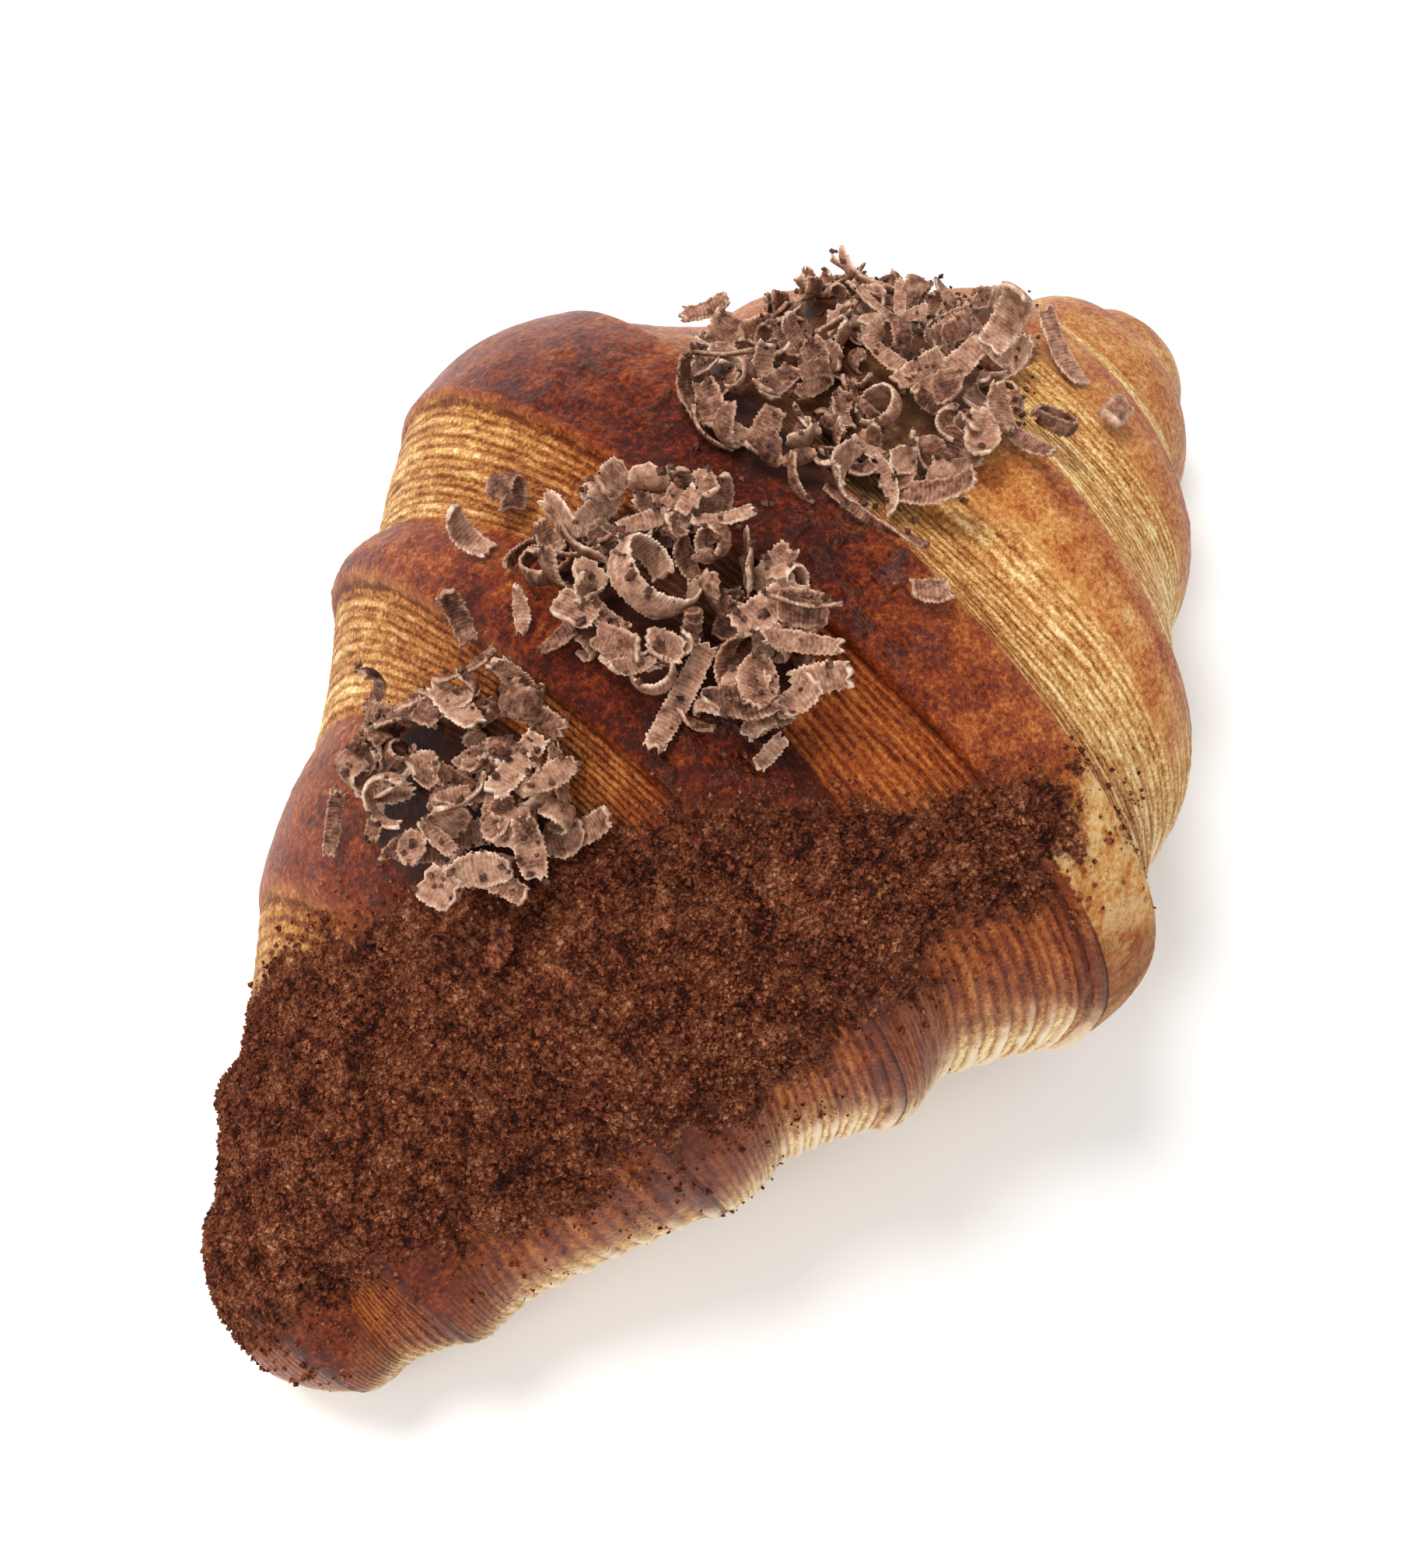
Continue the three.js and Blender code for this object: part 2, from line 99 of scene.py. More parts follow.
# ------------------------------------------------------------------ numbers and noise
def smooth_curve(xs, ys):
    """A curve through the points that never overshoots them, as in the CAD model."""
    xs = np.array(xs, float)
    ys = np.array(ys, float)
    slopes = np.diff(ys) / np.diff(xs)
    tangents = np.zeros(len(xs))
    tangents[0] = slopes[0]
    tangents[-1] = slopes[-1]
    before, after = slopes[:-1], slopes[1:]
    rising = before * after > 0
    total = np.where(rising, before + after, 1.0)
    tangents[1:-1] = np.where(rising, 2 * before * after / total, 0.0)

    def evaluate(wanted):
        x = np.clip(wanted, xs[0], xs[-1])
        i = np.clip(np.searchsorted(xs, x) - 1, 0, len(xs) - 2)
        span = xs[i + 1] - xs[i]
        s = (x - xs[i]) / span
        left = (2 * s**3 - 3 * s**2 + 1) * ys[i] + (s**3 - 2 * s**2 + s) * span * tangents[i]
        right = (3 * s**2 - 2 * s**3) * ys[i + 1] + (s**3 - s**2) * span * tangents[i + 1]
        return left + right

    return evaluate


def smoothstep(low, high, value):
    t = np.clip((value - low) / (high - low), 0.0, 1.0)
    return t * t * (3 - 2 * t)


def cell_random(ix, iy, iz, seed):
    """A repeatable random number from 0 to 1 for each cell of a grid."""
    h = ix.astype(np.int64) * 374761393 + iy.astype(np.int64) * 668265263
    h = (h + iz.astype(np.int64) * 1440662683 + seed * 974634777) & 0xFFFFFFFF
    h = ((h ^ (h >> 13)) * 1274126177) & 0xFFFFFFFF
    h = ((h ^ (h >> 16)) * 2246822519) & 0xFFFFFFFF
    return ((h ^ (h >> 15)) & 0xFFFFFF) / float(0xFFFFFF)


def noise(points, size, seed=0):
    """Smooth noise from -1 to 1 with features of the given size."""
    p = points / size
    base = np.floor(p).astype(np.int64)
    f = p - base
    f = f * f * (3 - 2 * f)
    total = np.zeros(p.shape[:-1])
    for dx in (0, 1):
        for dy in (0, 1):
            for dz in (0, 1):
                value = cell_random(base[..., 0] + dx, base[..., 1] + dy, base[..., 2] + dz, seed)
                weight = np.where(dx, f[..., 0], 1 - f[..., 0])
                weight = weight * np.where(dy, f[..., 1], 1 - f[..., 1])
                weight = weight * np.where(dz, f[..., 2], 1 - f[..., 2])
                total += value * weight
    return 2 * total - 1


def fractal(points, size, seed=0, octaves=3):
    total = np.zeros(points.shape[:-1])
    for k in range(octaves):
        total += noise(points, size / 2**k, seed + 17 * k) / 2**k
    return total / 1.6


def bubbles(points, size, seed=0):
    """Round bumps from 0 to 1, one in each cell, for blistered dough."""
    p = points / size
    base = np.floor(p).astype(np.int64)
    nearest = np.full(p.shape[:-1], 9.0)
    for dx in (-1, 0, 1):
        for dy in (-1, 0, 1):
            for dz in (-1, 0, 1):
                cx, cy, cz = base[..., 0] + dx, base[..., 1] + dy, base[..., 2] + dz
                gap = (cx + cell_random(cx, cy, cz, seed) - p[..., 0]) ** 2
                gap += (cy + cell_random(cx, cy, cz, seed + 1) - p[..., 1]) ** 2
                gap += (cz + cell_random(cx, cy, cz, seed + 2) - p[..., 2]) ** 2
                nearest = np.minimum(nearest, gap)
    return np.clip(1 - nearest / 0.35, 0, 1)


# ------------------------------------------------------------------ the roll of dough
def half_width_at(x):
    """Half the roll's width, greatest in the middle and falling to each tip."""
    x = np.asarray(x, float)
    out = (np.hypot(x, MIDDLE_ROUNDING) - MIDDLE_ROUNDING) / WIDTH_TAPER_LENGTH
    power = np.where(x < 0, NEAR_WIDTH_TAPER, FAR_WIDTH_TAPER)
    return TIP_HALF_WIDTH + (MIDDLE_HALF_WIDTH - TIP_HALF_WIDTH) * (1 - np.clip(out, 0, 1)) ** power


def height_at(x):
    """The roll's height, greatest at the ridge and falling to each tip."""
    past = np.asarray(x, float) - RIDGE_STATION
    near = past < 0
    reach = np.where(near, LAST_STATION + RIDGE_STATION, LAST_STATION - RIDGE_STATION)
    out = np.clip(np.abs(past) / reach, 0, 1)
    drop = RIDGE_HEIGHT - np.where(near, NEAR_TIP_HEIGHT, FAR_TIP_HEIGHT)
    return RIDGE_HEIGHT - drop * out ** np.where(near, NEAR_FALL, FAR_FALL)


def bow_at(x):
    """How far the roll's middle line is bent to one side."""
    x = np.asarray(x, float)
    out = (np.abs(x) - STRAIGHT_HALF_LENGTH) / (LAST_STATION - STRAIGHT_HALF_LENGTH)
    return np.where(x < 0, NEAR_TIP_BOW, FAR_TIP_BOW) * np.clip(out, 0, 1) ** BOW_POWER


step_near = smooth_curve(TURNS, STEP_NEAR)
step_far = smooth_curve(TURNS, STEP_FAR)


def around_share(phi):
    return ((phi - SPIRAL_START) % 360.0) / 360.0


def cut_edge_share(phi):
    on_top = np.clip(np.sin(np.radians(phi)), 0, 1)
    return CUT_EDGE_AT_SIDE - CUT_EDGE_LOSS_ON_TOP * on_top**2


def base_angle(x):
    drop = (1 / UNDERCUT) ** BELLY_FULLNESS
    half_base = half_width_at(x) * (1 - drop) ** (1 / BELLY_FULLNESS)
    return np.degrees(np.arctan2(SHOULDER_FRACTION * height_at(x), half_base))


def crust_points(x, phi, profile):
    """Points of the crust. phi is 0 on the -Y side, 90 on top and 180 on the +Y side."""
    past = np.clip((np.abs(x) - (TIP_HALF_LENGTH - CAP_LENGTH)) / CAP_LENGTH, 0, 1)
    cap = CAP_END_SCALE + (1 - CAP_END_SCALE) * np.sqrt(np.maximum(1 - past**2.4, 0))
    half_width = half_width_at(x) * cap
    height = height_at(x)
    shoulder = SHOULDER_FRACTION * height
    c = np.cos(np.radians(phi))
    s = np.sin(np.radians(phi))
    power = np.where(s >= 0, TOP_FULLNESS, BELLY_FULLNESS)
    half_height = np.where(s >= 0, (height - shoulder) * cap, shoulder * UNDERCUT)
    reach = (np.abs(c / half_width) ** power + np.abs(s / half_height) ** power) ** (-1 / power)
    wide = np.clip((half_width - 10) / 40, 0, 1)
    upper = STEP_AT_BASE + (1 - STEP_AT_BASE) * np.clip((s + 0.5) / 0.8, 0, 1)
    step = (STEP_AT_TIP + STEP_GAIN * wide) * upper
    scale = 1 + step * profile / np.maximum(reach, 8)
    y = bow_at(x) - reach * c * scale
    z = np.maximum(shoulder + reach * s * scale, 0)
    return np.stack([x, y, z], -1)


def spiral_lines():
    """The turn number and the place in it of each mesh line on one half, from the middle out.
    A place from 0 to 1 is across the cut edge, and from 1 to 2 across the crust beyond it."""
    turn, place = [], []
    in_edge = LAYERS_IN_CUT_EDGE * LINES_PER_LAYER
    for n in range(5):
        for k in range(in_edge):
            turn.append(n)
            place.append(k / in_edge)
        for k in range(LINES_IN_CRUST):
            turn.append(n)
            place.append(1 + k / LINES_IN_CRUST)
    turn = np.array(turn)
    place = np.array(place)
    keep = turn + np.where(place < 1, 0.5 * place, place - 0.5) < LAST_SPIRAL_TURN
    return turn[keep], place[keep]


def turn_fraction(place, share):
    return np.where(place < 1, share * place, share + (1 - share) * (place - 1))


def step_profile(place):
    """+1 on the rim of a turn, -1 in the groove beside it, with a crisp lip at the rim."""
    lip = smoothstep(0.0, 0.1, place)
    down = 1 - 2 * (0.22 * lip + 0.78 * np.sin(np.pi / 2 * np.clip(place, 0, 1)))
    up = -1 + 2 * np.sin(np.pi / 2 * np.clip(place - 1, 0, 1))
    return np.where(place < 1, down, up)


def half_roll(side, step_at, phi):
    """x, turn and place for every mesh line of one half, at every angle phi."""
    turn, place = spiral_lines()
    share = cut_edge_share(phi)[None, :]
    fraction = turn_fraction(place[:, None], share)
    turns_out = turn[:, None] + fraction
    x = step_at(turns_out + around_share(phi)[None, :])
    end = TIP_HALF_LENGTH
    x = np.minimum(x, end - 2.0)
    last = x[-1]
    rows, turn_rows, place_rows = [x], [np.broadcast_to(turn[:, None], x.shape)], []
    place_rows.append(np.broadcast_to(place[:, None], x.shape))
    turn_table = np.linspace(0, TURNS[-1], 1200)
    x_table = step_at(turn_table)
    for k in range(1, LINES_IN_TIP + 1):
        share_out = math.sin(math.pi / 2 * k / LINES_IN_TIP)
        tip_x = last + (end - last) * share_out
        out = np.interp(tip_x, x_table, turn_table) - around_share(phi)
        whole = np.floor(out)
        rest = out - whole
        share_here = cut_edge_share(phi)
        tip_place = np.where(rest < share_here, rest / share_here, 1 + (rest - share_here) / (1 - share_here))
        rows.append(tip_x[None, :])
        turn_rows.append(whole[None, :])
        place_rows.append(tip_place[None, :])
    return side * np.concatenate(rows), np.concatenate(turn_rows), np.concatenate(place_rows)


def roll_grid():
    """x, phi, turn and place over the whole grid, from the near tip to the far tip."""
    low = -47.0
    phi = np.linspace(low, 180 - low, ARC_COUNT)
    near = half_roll(-1, step_near, phi)
    far = half_roll(1, step_far, phi)
    start = near[0][0]
    stop = far[0][0]
    middle_x = [start + (stop - start) * k / (LINES_IN_MIDDLE + 1) for k in range(1, LINES_IN_MIDDLE + 1)]
    middle = np.array(middle_x)
    x = np.concatenate([near[0][::-1], middle, far[0]])
    turn = np.concatenate([near[1][::-1], np.full(middle.shape, -1.0), far[1]])
    place = np.concatenate([near[2][::-1], np.full(middle.shape, 2.0), far[2]])
    low_here = -base_angle(x)
    phi_here = low_here + (180 - 2 * low_here) * (phi[None, :] - low) / (180 - 2 * low)
    return x, phi_here, turn, place


def place_at(x, phi):
    """Turn and place on the crust at station x and angle phi."""
    table = np.linspace(0, TURNS[-1], 1200)
    near = np.interp(-x, step_near(table), table)
    far = np.interp(x, step_far(table), table)
    out = np.where(x < 0, near, far) - around_share(phi)
    whole = np.floor(out)
    rest = out - whole
    share = cut_edge_share(phi)
    place = np.where(rest < share, rest / share, 1 + (rest - share) / (1 - share))
    return whole, np.where(out < 0, 2.0, place)


def roll_height(x, y):
    """Height of the roll's top over one point of the table."""
    phi = np.linspace(2, 178, 240)
    stations = np.full(phi.shape, float(x))
    points = crust_points(stations, phi, step_profile(place_at(stations, phi)[1]))
    return float(np.interp(y, points[:, 1], points[:, 2]))


# ------------------------------------------------------------------ meshes
def mesh_object(name, points, quads, material, attributes=None, smooth=True):
    """A mesh in metres from points in mm, with one number per point for each attribute."""
    mesh = bpy.data.meshes.new(name)
    points = np.asarray(points, float).reshape(-1, 3)
    quads = np.asarray(quads, np.int32)
    corners = quads.shape[1]
    mesh.vertices.add(len(points))
    mesh.vertices.foreach_set("co", (points * MM).ravel())
    mesh.loops.add(quads.size)
    mesh.loops.foreach_set("vertex_index", quads.ravel())
    mesh.polygons.add(len(quads))
    mesh.polygons.foreach_set("loop_start", np.arange(0, quads.size, corners, dtype=np.int32))
    mesh.polygons.foreach_set("use_smooth", np.full(len(quads), smooth))
    mesh.update(calc_edges=True)
    mesh.validate()
    for key, values in (attributes or {}).items():
        layer = mesh.attributes.new(key, "FLOAT", "POINT")
        layer.data.foreach_set("value", np.asarray(values, np.float32).ravel())
    mesh.materials.append(material)
    piece = bpy.data.objects.new(name, mesh)
    bpy.context.scene.collection.objects.link(piece)
    return piece


def grid_quads(rows, columns):
    """Quads of an open grid of points, facing the side where rows x columns points."""
    i, j = np.meshgrid(np.arange(rows - 1), np.arange(columns - 1), indexing="ij")
    a = (i * columns + j).ravel()
    return np.stack([a, a + columns, a + columns + 1, a + 1], -1)


# ------------------------------------------------------------------ materials
def linear(red, green, blue):
    """A colour given as 0 to 255 on screen, as the linear colour that shaders use."""
    values = np.array([red, green, blue]) / 255.0
    return tuple(np.where(values <= 0.04045, values / 12.92, ((values + 0.055) / 1.055) ** 2.4)) + (1.0,)


class Nodes:
    """Short ways to add nodes to one material."""

    def __init__(self, name):
        self.material = bpy.data.materials.new(name)
        self.material.use_nodes = True
        self.tree = self.material.node_tree
        self.shader = self.tree.nodes["Principled BSDF"]

    def add(self, kind, **settings):
        node = self.tree.nodes.new(kind)
        for key, value in settings.items():
            setattr(node, key, value)
        return node

    def link(self, source, target):
        self.tree.links.new(source, target)

    def attribute(self, name):
        return self.add("ShaderNodeAttribute", attribute_name=name).outputs["Fac"]

    def noise(self, size_mm, detail=3.0, roughness=0.6, stretch=(1, 1, 1)):
        """Noise in the piece's own coordinates, with features of about size_mm."""
        coordinates = self.add("ShaderNodeTexCoord")
        mapping = self.add("ShaderNodeMapping")
        mapping.inputs["Scale"].default_value = stretch
        self.link(coordinates.outputs["Object"], mapping.inputs["Vector"])
        texture = self.add("ShaderNodeTexNoise")
        texture.inputs["Scale"].default_value = 1 / (size_mm * MM)
        texture.inputs["Detail"].default_value = detail
        texture.inputs["Roughness"].default_value = roughness
        self.link(mapping.outputs["Vector"], texture.inputs["Vector"])
        return texture.outputs["Fac"]

    def noise_colour(self, size_mm):
        texture = self.noise(size_mm, 2.0).node
        return texture.outputs["Color"]

    def math(self, operation, a, b=0.0, clamp=False):
        node = self.add("ShaderNodeMath", operation=operation, use_clamp=clamp)
        for socket, value in zip(node.inputs, (a, b)):
            if isinstance(value, (int, float)):
                socket.default_value = value
            else:
                self.link(value, socket)
        return node.outputs[0]

    def ramp(self, factor, stops):
        node = self.add("ShaderNodeValToRGB")
        elements = node.color_ramp.elements
        while len(elements) < len(stops):
            elements.new(0.5)
        for element, (position, colour) in zip(elements, stops):
            element.position = position
            element.color = colour
        self.link(factor, node.inputs["Fac"])
        return node.outputs["Color"]

    def mix(self, factor, a, b, blend="MIX"):
        node = self.add("ShaderNodeMix", data_type="RGBA", blend_type=blend)
        for socket, value in ((node.inputs[0], factor), (node.inputs[6], a), (node.inputs[7], b)):
            if isinstance(value, (int, float, tuple)):
                socket.default_value = value
            else:
                self.link(value, socket)
        return node.outputs[2]

    def blend_value(self, factor, a, b):
        """a where factor is 0, b where it is 1."""
        rest = self.math("SUBTRACT", 1.0, factor)
        return self.math("ADD", self.math("MULTIPLY", rest, a), self.math("MULTIPLY", factor, b))

    def bump(self, height, distance_mm, strength=1.0):
        node = self.add("ShaderNodeBump")
        node.inputs["Strength"].default_value = strength
        node.inputs["Distance"].default_value = distance_mm * MM
        self.link(height, node.inputs["Height"])
        self.link(node.outputs["Normal"], self.shader.inputs["Normal"])
        self.link(node.outputs["Normal"], self.shader.inputs["Coat Normal"])


def around(nodes, value, amount):
    """A noise value turned into a change of up to about this amount, up or down."""
    return nodes.math("MULTIPLY", nodes.math("SUBTRACT", value, 0.5), amount)


def cocoa_look(nodes):
    """Colour and height of the powder: crumbly lumps and grains, with painted shade darkening the gaps
    between them and painted highlight lightening the lump tops.
    """
    coordinates = nodes.add("ShaderNodeTexCoord")
    shift = nodes.add("ShaderNodeVectorMath", operation="SCALE")
    shift.inputs["Scale"].default_value = 0.0012
    nodes.link(nodes.noise_colour(0.9), shift.inputs[0])
    moved = nodes.add("ShaderNodeVectorMath", operation="ADD")
    nodes.link(coordinates.outputs["Object"], moved.inputs[0])
    nodes.link(shift.outputs[0], moved.inputs[1])
    cells = nodes.add("ShaderNodeTexVoronoi")
    cells.inputs["Scale"].default_value = 1 / (0.9 * MM)
    nodes.link(moved.outputs[0], cells.inputs["Vector"])
    lump = nodes.math("SUBTRACT", 1.0, nodes.math("MULTIPLY", cells.outputs["Distance"], 1.1))
    wide = around(nodes, nodes.noise(3.4, 4.0, 0.6), 1.3)
    fine = around(nodes, nodes.noise(0.32, 3.0, 0.8), 2.2)
    height = nodes.math("ADD", nodes.math("ADD", nodes.math("MULTIPLY", lump, 0.6), wide), fine)
    height = nodes.math("ADD", height, 0.09)
    # Painted shade and highlight: the colour follows the height, darkest in the gaps between lumps and palest
    # on the lump tops, over random tone.
    colour = nodes.ramp(height, [
        (0.0, linear(46, 13, 5)),
        (0.2, linear(90, 36, 18)),
        (0.42, linear(128, 66, 38)),
        (0.65, linear(154, 90, 58)),
        (0.95, linear(206, 148, 108)),
    ])
    return colour, height


def crust_colour(nodes):
    """Egg-washed crust, from pale dough to dark brown, speckled all over."""
    brown = nodes.attribute("brown")
    tone = nodes.math("ADD", brown, around(nodes, nodes.noise(3.4, 6.0, 0.65), 0.85))
    tone = nodes.math("ADD", tone, around(nodes, nodes.noise(0.6, 5.0, 0.8), 1.6), clamp=True)
    return nodes.ramp(tone, [
        (0.0, linear(238, 200, 142)),
        (0.22, linear(218, 156, 84)),
        (0.45, linear(190, 106, 44)),
        (0.65, linear(144, 62, 20)),
        (0.85, linear(106, 34, 9)),
        (1.0, linear(60, 16, 5)),
    ])


def streaks(nodes, scale, detail):
    """Noise drawn out along the layers of the dough."""
    place = nodes.add("ShaderNodeCombineXYZ")
    nodes.link(nodes.attribute("across"), place.inputs[0])
    nodes.link(nodes.math("MULTIPLY", nodes.attribute("along"), 0.3), place.inputs[1])
    texture = nodes.add("ShaderNodeTexNoise")
    texture.inputs["Scale"].default_value = scale
    texture.inputs["Detail"].default_value = detail
    texture.inputs["Roughness"].default_value = 0.7
    nodes.link(place.outputs[0], texture.inputs["Vector"])
    return texture.outputs["Fac"]


def cut_layers(nodes):
    """Colour and height of the fine layers that show where the dough was cut."""
    wavy = nodes.math("ADD", nodes.attribute("across"), around(nodes, nodes.noise(1.2, 3.0), 0.5))
    part = nodes.math("FRACT", wavy)
    from_middle = nodes.math("MULTIPLY", nodes.math("ABSOLUTE", nodes.math("SUBTRACT", part, 0.5)), 2.0)
    groove = nodes.math("MULTIPLY", nodes.math("SUBTRACT", from_middle, 0.42), 2.2, clamp=True)
    grain = around(nodes, nodes.noise(0.4, 4.0, 0.8), 2.1)
    streaky = nodes.math("ADD", around(nodes, streaks(nodes, 1.3, 3.0), 1.3), grain)
    tone = nodes.math("ADD", nodes.attribute("layer"), streaky)
    tone = nodes.math("SUBTRACT", tone, nodes.math("MULTIPLY", groove, 0.26), clamp=True)
    colour = nodes.ramp(tone, [
        (0.0, linear(104, 50, 18)),
        (0.3, linear(164, 100, 42)),
        (0.6, linear(206, 152, 86)),
        (0.85, linear(238, 198, 130)),
        (1.0, linear(254, 232, 180)),
    ])
    browned = nodes.mix(1.0, colour, linear(196, 138, 92), "MULTIPLY")
    raised = nodes.math("MULTIPLY", streaky, 0.35)
    height = nodes.math("SUBTRACT", raised, nodes.math("MULTIPLY", groove, 0.6))
    return nodes.mix(nodes.attribute("stain"), colour, browned), height


def crust_material():
    """Crust, cut layers and cocoa, mixed by the mesh's own masks, with painted highlights on the low ridges
    and painted shadow under the shaving clumps.
    """
    nodes = Nodes("crust")
    cut = nodes.attribute("cut")
    glaze = nodes.attribute("glaze")
    density = nodes.attribute("cocoa")
    layers, layer_height = cut_layers(nodes)
    dough = nodes.mix(cut, crust_colour(nodes), layers)
    # The pale mask paints near-white highlights on the ridge tops near the base.
    dough = nodes.mix(nodes.attribute("pale"), dough, linear(252, 232, 204))
    dusted = nodes.mix(nodes.math("MULTIPLY", density, 0.7), dough, linear(100, 46, 26))

    # Painted shadow under the shaving clumps, together with dark chocolate dust: the crust turns dark brown
    # where the clumps lie.
    shaded_bed = nodes.math("ADD", nodes.attribute("shaded_bed"), around(nodes, nodes.noise(1.4, 4.0, 0.7), 1.6))
    shaded_bed = nodes.math("MULTIPLY", nodes.math("SUBTRACT", shaded_bed, 0.45), 3.0, clamp=True)
    dusted = nodes.mix(nodes.math("MULTIPLY", shaded_bed, 0.85), dusted, linear(58, 26, 16))
    cocoa, cocoa_height = cocoa_look(nodes)
    patches = nodes.math("ADD", around(nodes, nodes.noise(1.3, 4.0, 0.7), 6.5), around(nodes, density, 5.0))
    covered = nodes.math("ADD", patches, 0.5, clamp=True)
    nodes.link(nodes.mix(covered, dusted, cocoa), nodes.shader.inputs["Base Color"])

    wet = nodes.blend_value(glaze, 0.66, 0.34)
    skin = nodes.math("ADD", wet, around(nodes, nodes.noise(0.8, 4.0), 0.5))
    nodes.link(nodes.blend_value(covered, skin, 0.95), nodes.shader.inputs["Roughness"])
    nodes.shader.inputs["Specular IOR Level"].default_value = 0.14
    wet_coat = nodes.math("MULTIPLY", nodes.attribute("wet"), 0.9)
    coat = nodes.math("ADD", nodes.math("MULTIPLY", glaze, 0.1), wet_coat)
    nodes.link(coat, nodes.shader.inputs["Coat Weight"])
    nodes.shader.inputs["Coat Roughness"].default_value = 0.14
    beads = nodes.math("MULTIPLY", nodes.attribute("wet"), nodes.math("MULTIPLY", nodes.noise(0.5, 2.0), 9.0))
    skin_height = nodes.math("ADD", nodes.math("MULTIPLY", nodes.noise(0.6, 5.0, 0.75), 1.8), beads)
    dough_height = nodes.blend_value(cut, skin_height, layer_height)
    crumbled = nodes.math("ADD", nodes.math("MULTIPLY", cocoa_height, 2.6), layer_height)
    relief = nodes.blend_value(covered, dough_height, crumbled)
    nodes.bump(relief, 0.22, 1.0)
    return nodes.material


def chocolate_material():
    """Matte scraped chocolate: ribs, edges lightened as painted highlight, and mottled dusty faces."""
    nodes = Nodes("chocolate")
    edge = nodes.attribute("edge")
    rib = nodes.attribute("rib")
    mottle = around(nodes, nodes.noise(1.0, 5.0, 0.75), 1.5)
    ribs = nodes.math("MULTIPLY", rib, 0.12)
    # Painted highlight: the shaving edges are lightened in the colour, broken up by noise.
    highlit_edges = nodes.math("MULTIPLY", edge, nodes.math("MULTIPLY", nodes.noise(0.7, 3.0), 0.75))
    tone = nodes.math("ADD", nodes.math("ADD", highlit_edges, ribs), mottle)
    tone = nodes.math("ADD", tone, nodes.math("MULTIPLY", nodes.attribute("shade"), 0.34))
    colour = nodes.ramp(nodes.math("ADD", tone, 0.14, clamp=True), [
        (0.0, linear(44, 20, 12)),
        (0.22, linear(104, 62, 43)),
        (0.48, linear(164, 118, 93)),
        (0.76, linear(206, 166, 138)),
        (1.0, linear(238, 210, 186)),
    ])
    nodes.link(colour, nodes.shader.inputs["Base Color"])
    nodes.shader.inputs["Specular IOR Level"].default_value = 0.3
    nodes.link(nodes.blend_value(edge, 0.6, 0.85), nodes.shader.inputs["Roughness"])
    nodes.bump(nodes.noise(0.24, 4.0, 0.75), 0.12, 0.9)
    return nodes.material


def cocoa_material():
    nodes = Nodes("cocoa")
    # The powder's colour carries painted shade in the gaps and painted highlight on the lump tops.
    colour, height = cocoa_look(nodes)
    nodes.link(colour, nodes.shader.inputs["Base Color"])
    nodes.shader.inputs["Roughness"].default_value = 0.95
    nodes.shader.inputs["Specular IOR Level"].default_value = 0.2
    nodes.bump(height, 0.25, 0.9)
    return nodes.material


def floor_material():
    nodes = Nodes("floor")
    tone = nodes.ramp(nodes.noise(60.0, 2.0), [(0.3, linear(250, 249, 249)), (0.7, linear(252, 251, 251))])
    nodes.link(tone, nodes.shader.inputs["Base Color"])
    nodes.shader.inputs["Roughness"].default_value = 0.75
    return nodes.material


# ------------------------------------------------------------------ the croissant
# Where the cocoa patch ends, seen from above: its border towards the ridge and its border
# towards the base both run from the near tip to the middle of the roll.
COCOA_RIDGE_SIDE_AT_TIP = 10
COCOA_BASE_SIDE_AT_TIP = -15
COCOA_RIDGE_SIDE_AT_MIDDLE = -38
COCOA_BASE_SIDE_AT_MIDDLE = -40
COCOA_NARROWS_FROM = -66
COCOA_REACH = 2
COCOA_BASE_SIDE_POWER = 1.8
COCOA_END = -1.0
COCOA_SPOT = (3.0, -36.0, 38.0)

# Where the crust is blistered and where it is wet, with the outer and inner radius of each.
BLISTERED = ((-4.0, 20.0, 56.0), 14.0, 5.0)
WET_SPOTS = [((-2.3, -10.0, 58.0), 13.0, 4.0), ((-24.0, -15.0, 58.0), 9.0, 3.0)]


def cocoa_borders(x):
    """The y of the cocoa patch's border towards the ridge, and towards the base."""
    run = np.clip((x - COCOA_NARROWS_FROM) / (COCOA_REACH - COCOA_NARROWS_FROM), 0, 1)
    upper = COCOA_RIDGE_SIDE_AT_TIP + (COCOA_RIDGE_SIDE_AT_MIDDLE - COCOA_RIDGE_SIDE_AT_TIP) * run
    back = np.clip((COCOA_REACH - x) / (COCOA_REACH + TIP_HALF_LENGTH), 0, 1) ** COCOA_BASE_SIDE_POWER
    lower = COCOA_BASE_SIDE_AT_MIDDLE + (COCOA_BASE_SIDE_AT_TIP - COCOA_BASE_SIDE_AT_MIDDLE) * back
    return upper, lower


def distance_from(middle, points):
    """How far each point lies from one point of the roll, in mm."""
    return np.linalg.norm(points - np.array(middle), axis=-1)


def cocoa_density(points):
    """How thickly cocoa lies on the crust, from 0 to 1, thinning out round the patch."""
    x, y = points[..., 0], points[..., 1]
    upper, lower = cocoa_borders(x)
    above = (upper - y) / 6.5
    below = (y - lower) / 7.0
    beyond = (COCOA_END - x) / 9.0
    inside = np.minimum(np.minimum(above, below), beyond)
    inside = inside + 0.35 * noise(points, 8.0, 31) + 0.25 * noise(points, 2.5, 32)
    patch = smoothstep(-0.9, 0.75, inside)
    spots = smoothstep(15.0, 4.0, distance_from(COCOA_SPOT, points))
    return np.clip(np.maximum(patch, 0.26 * spots), 0, 1)


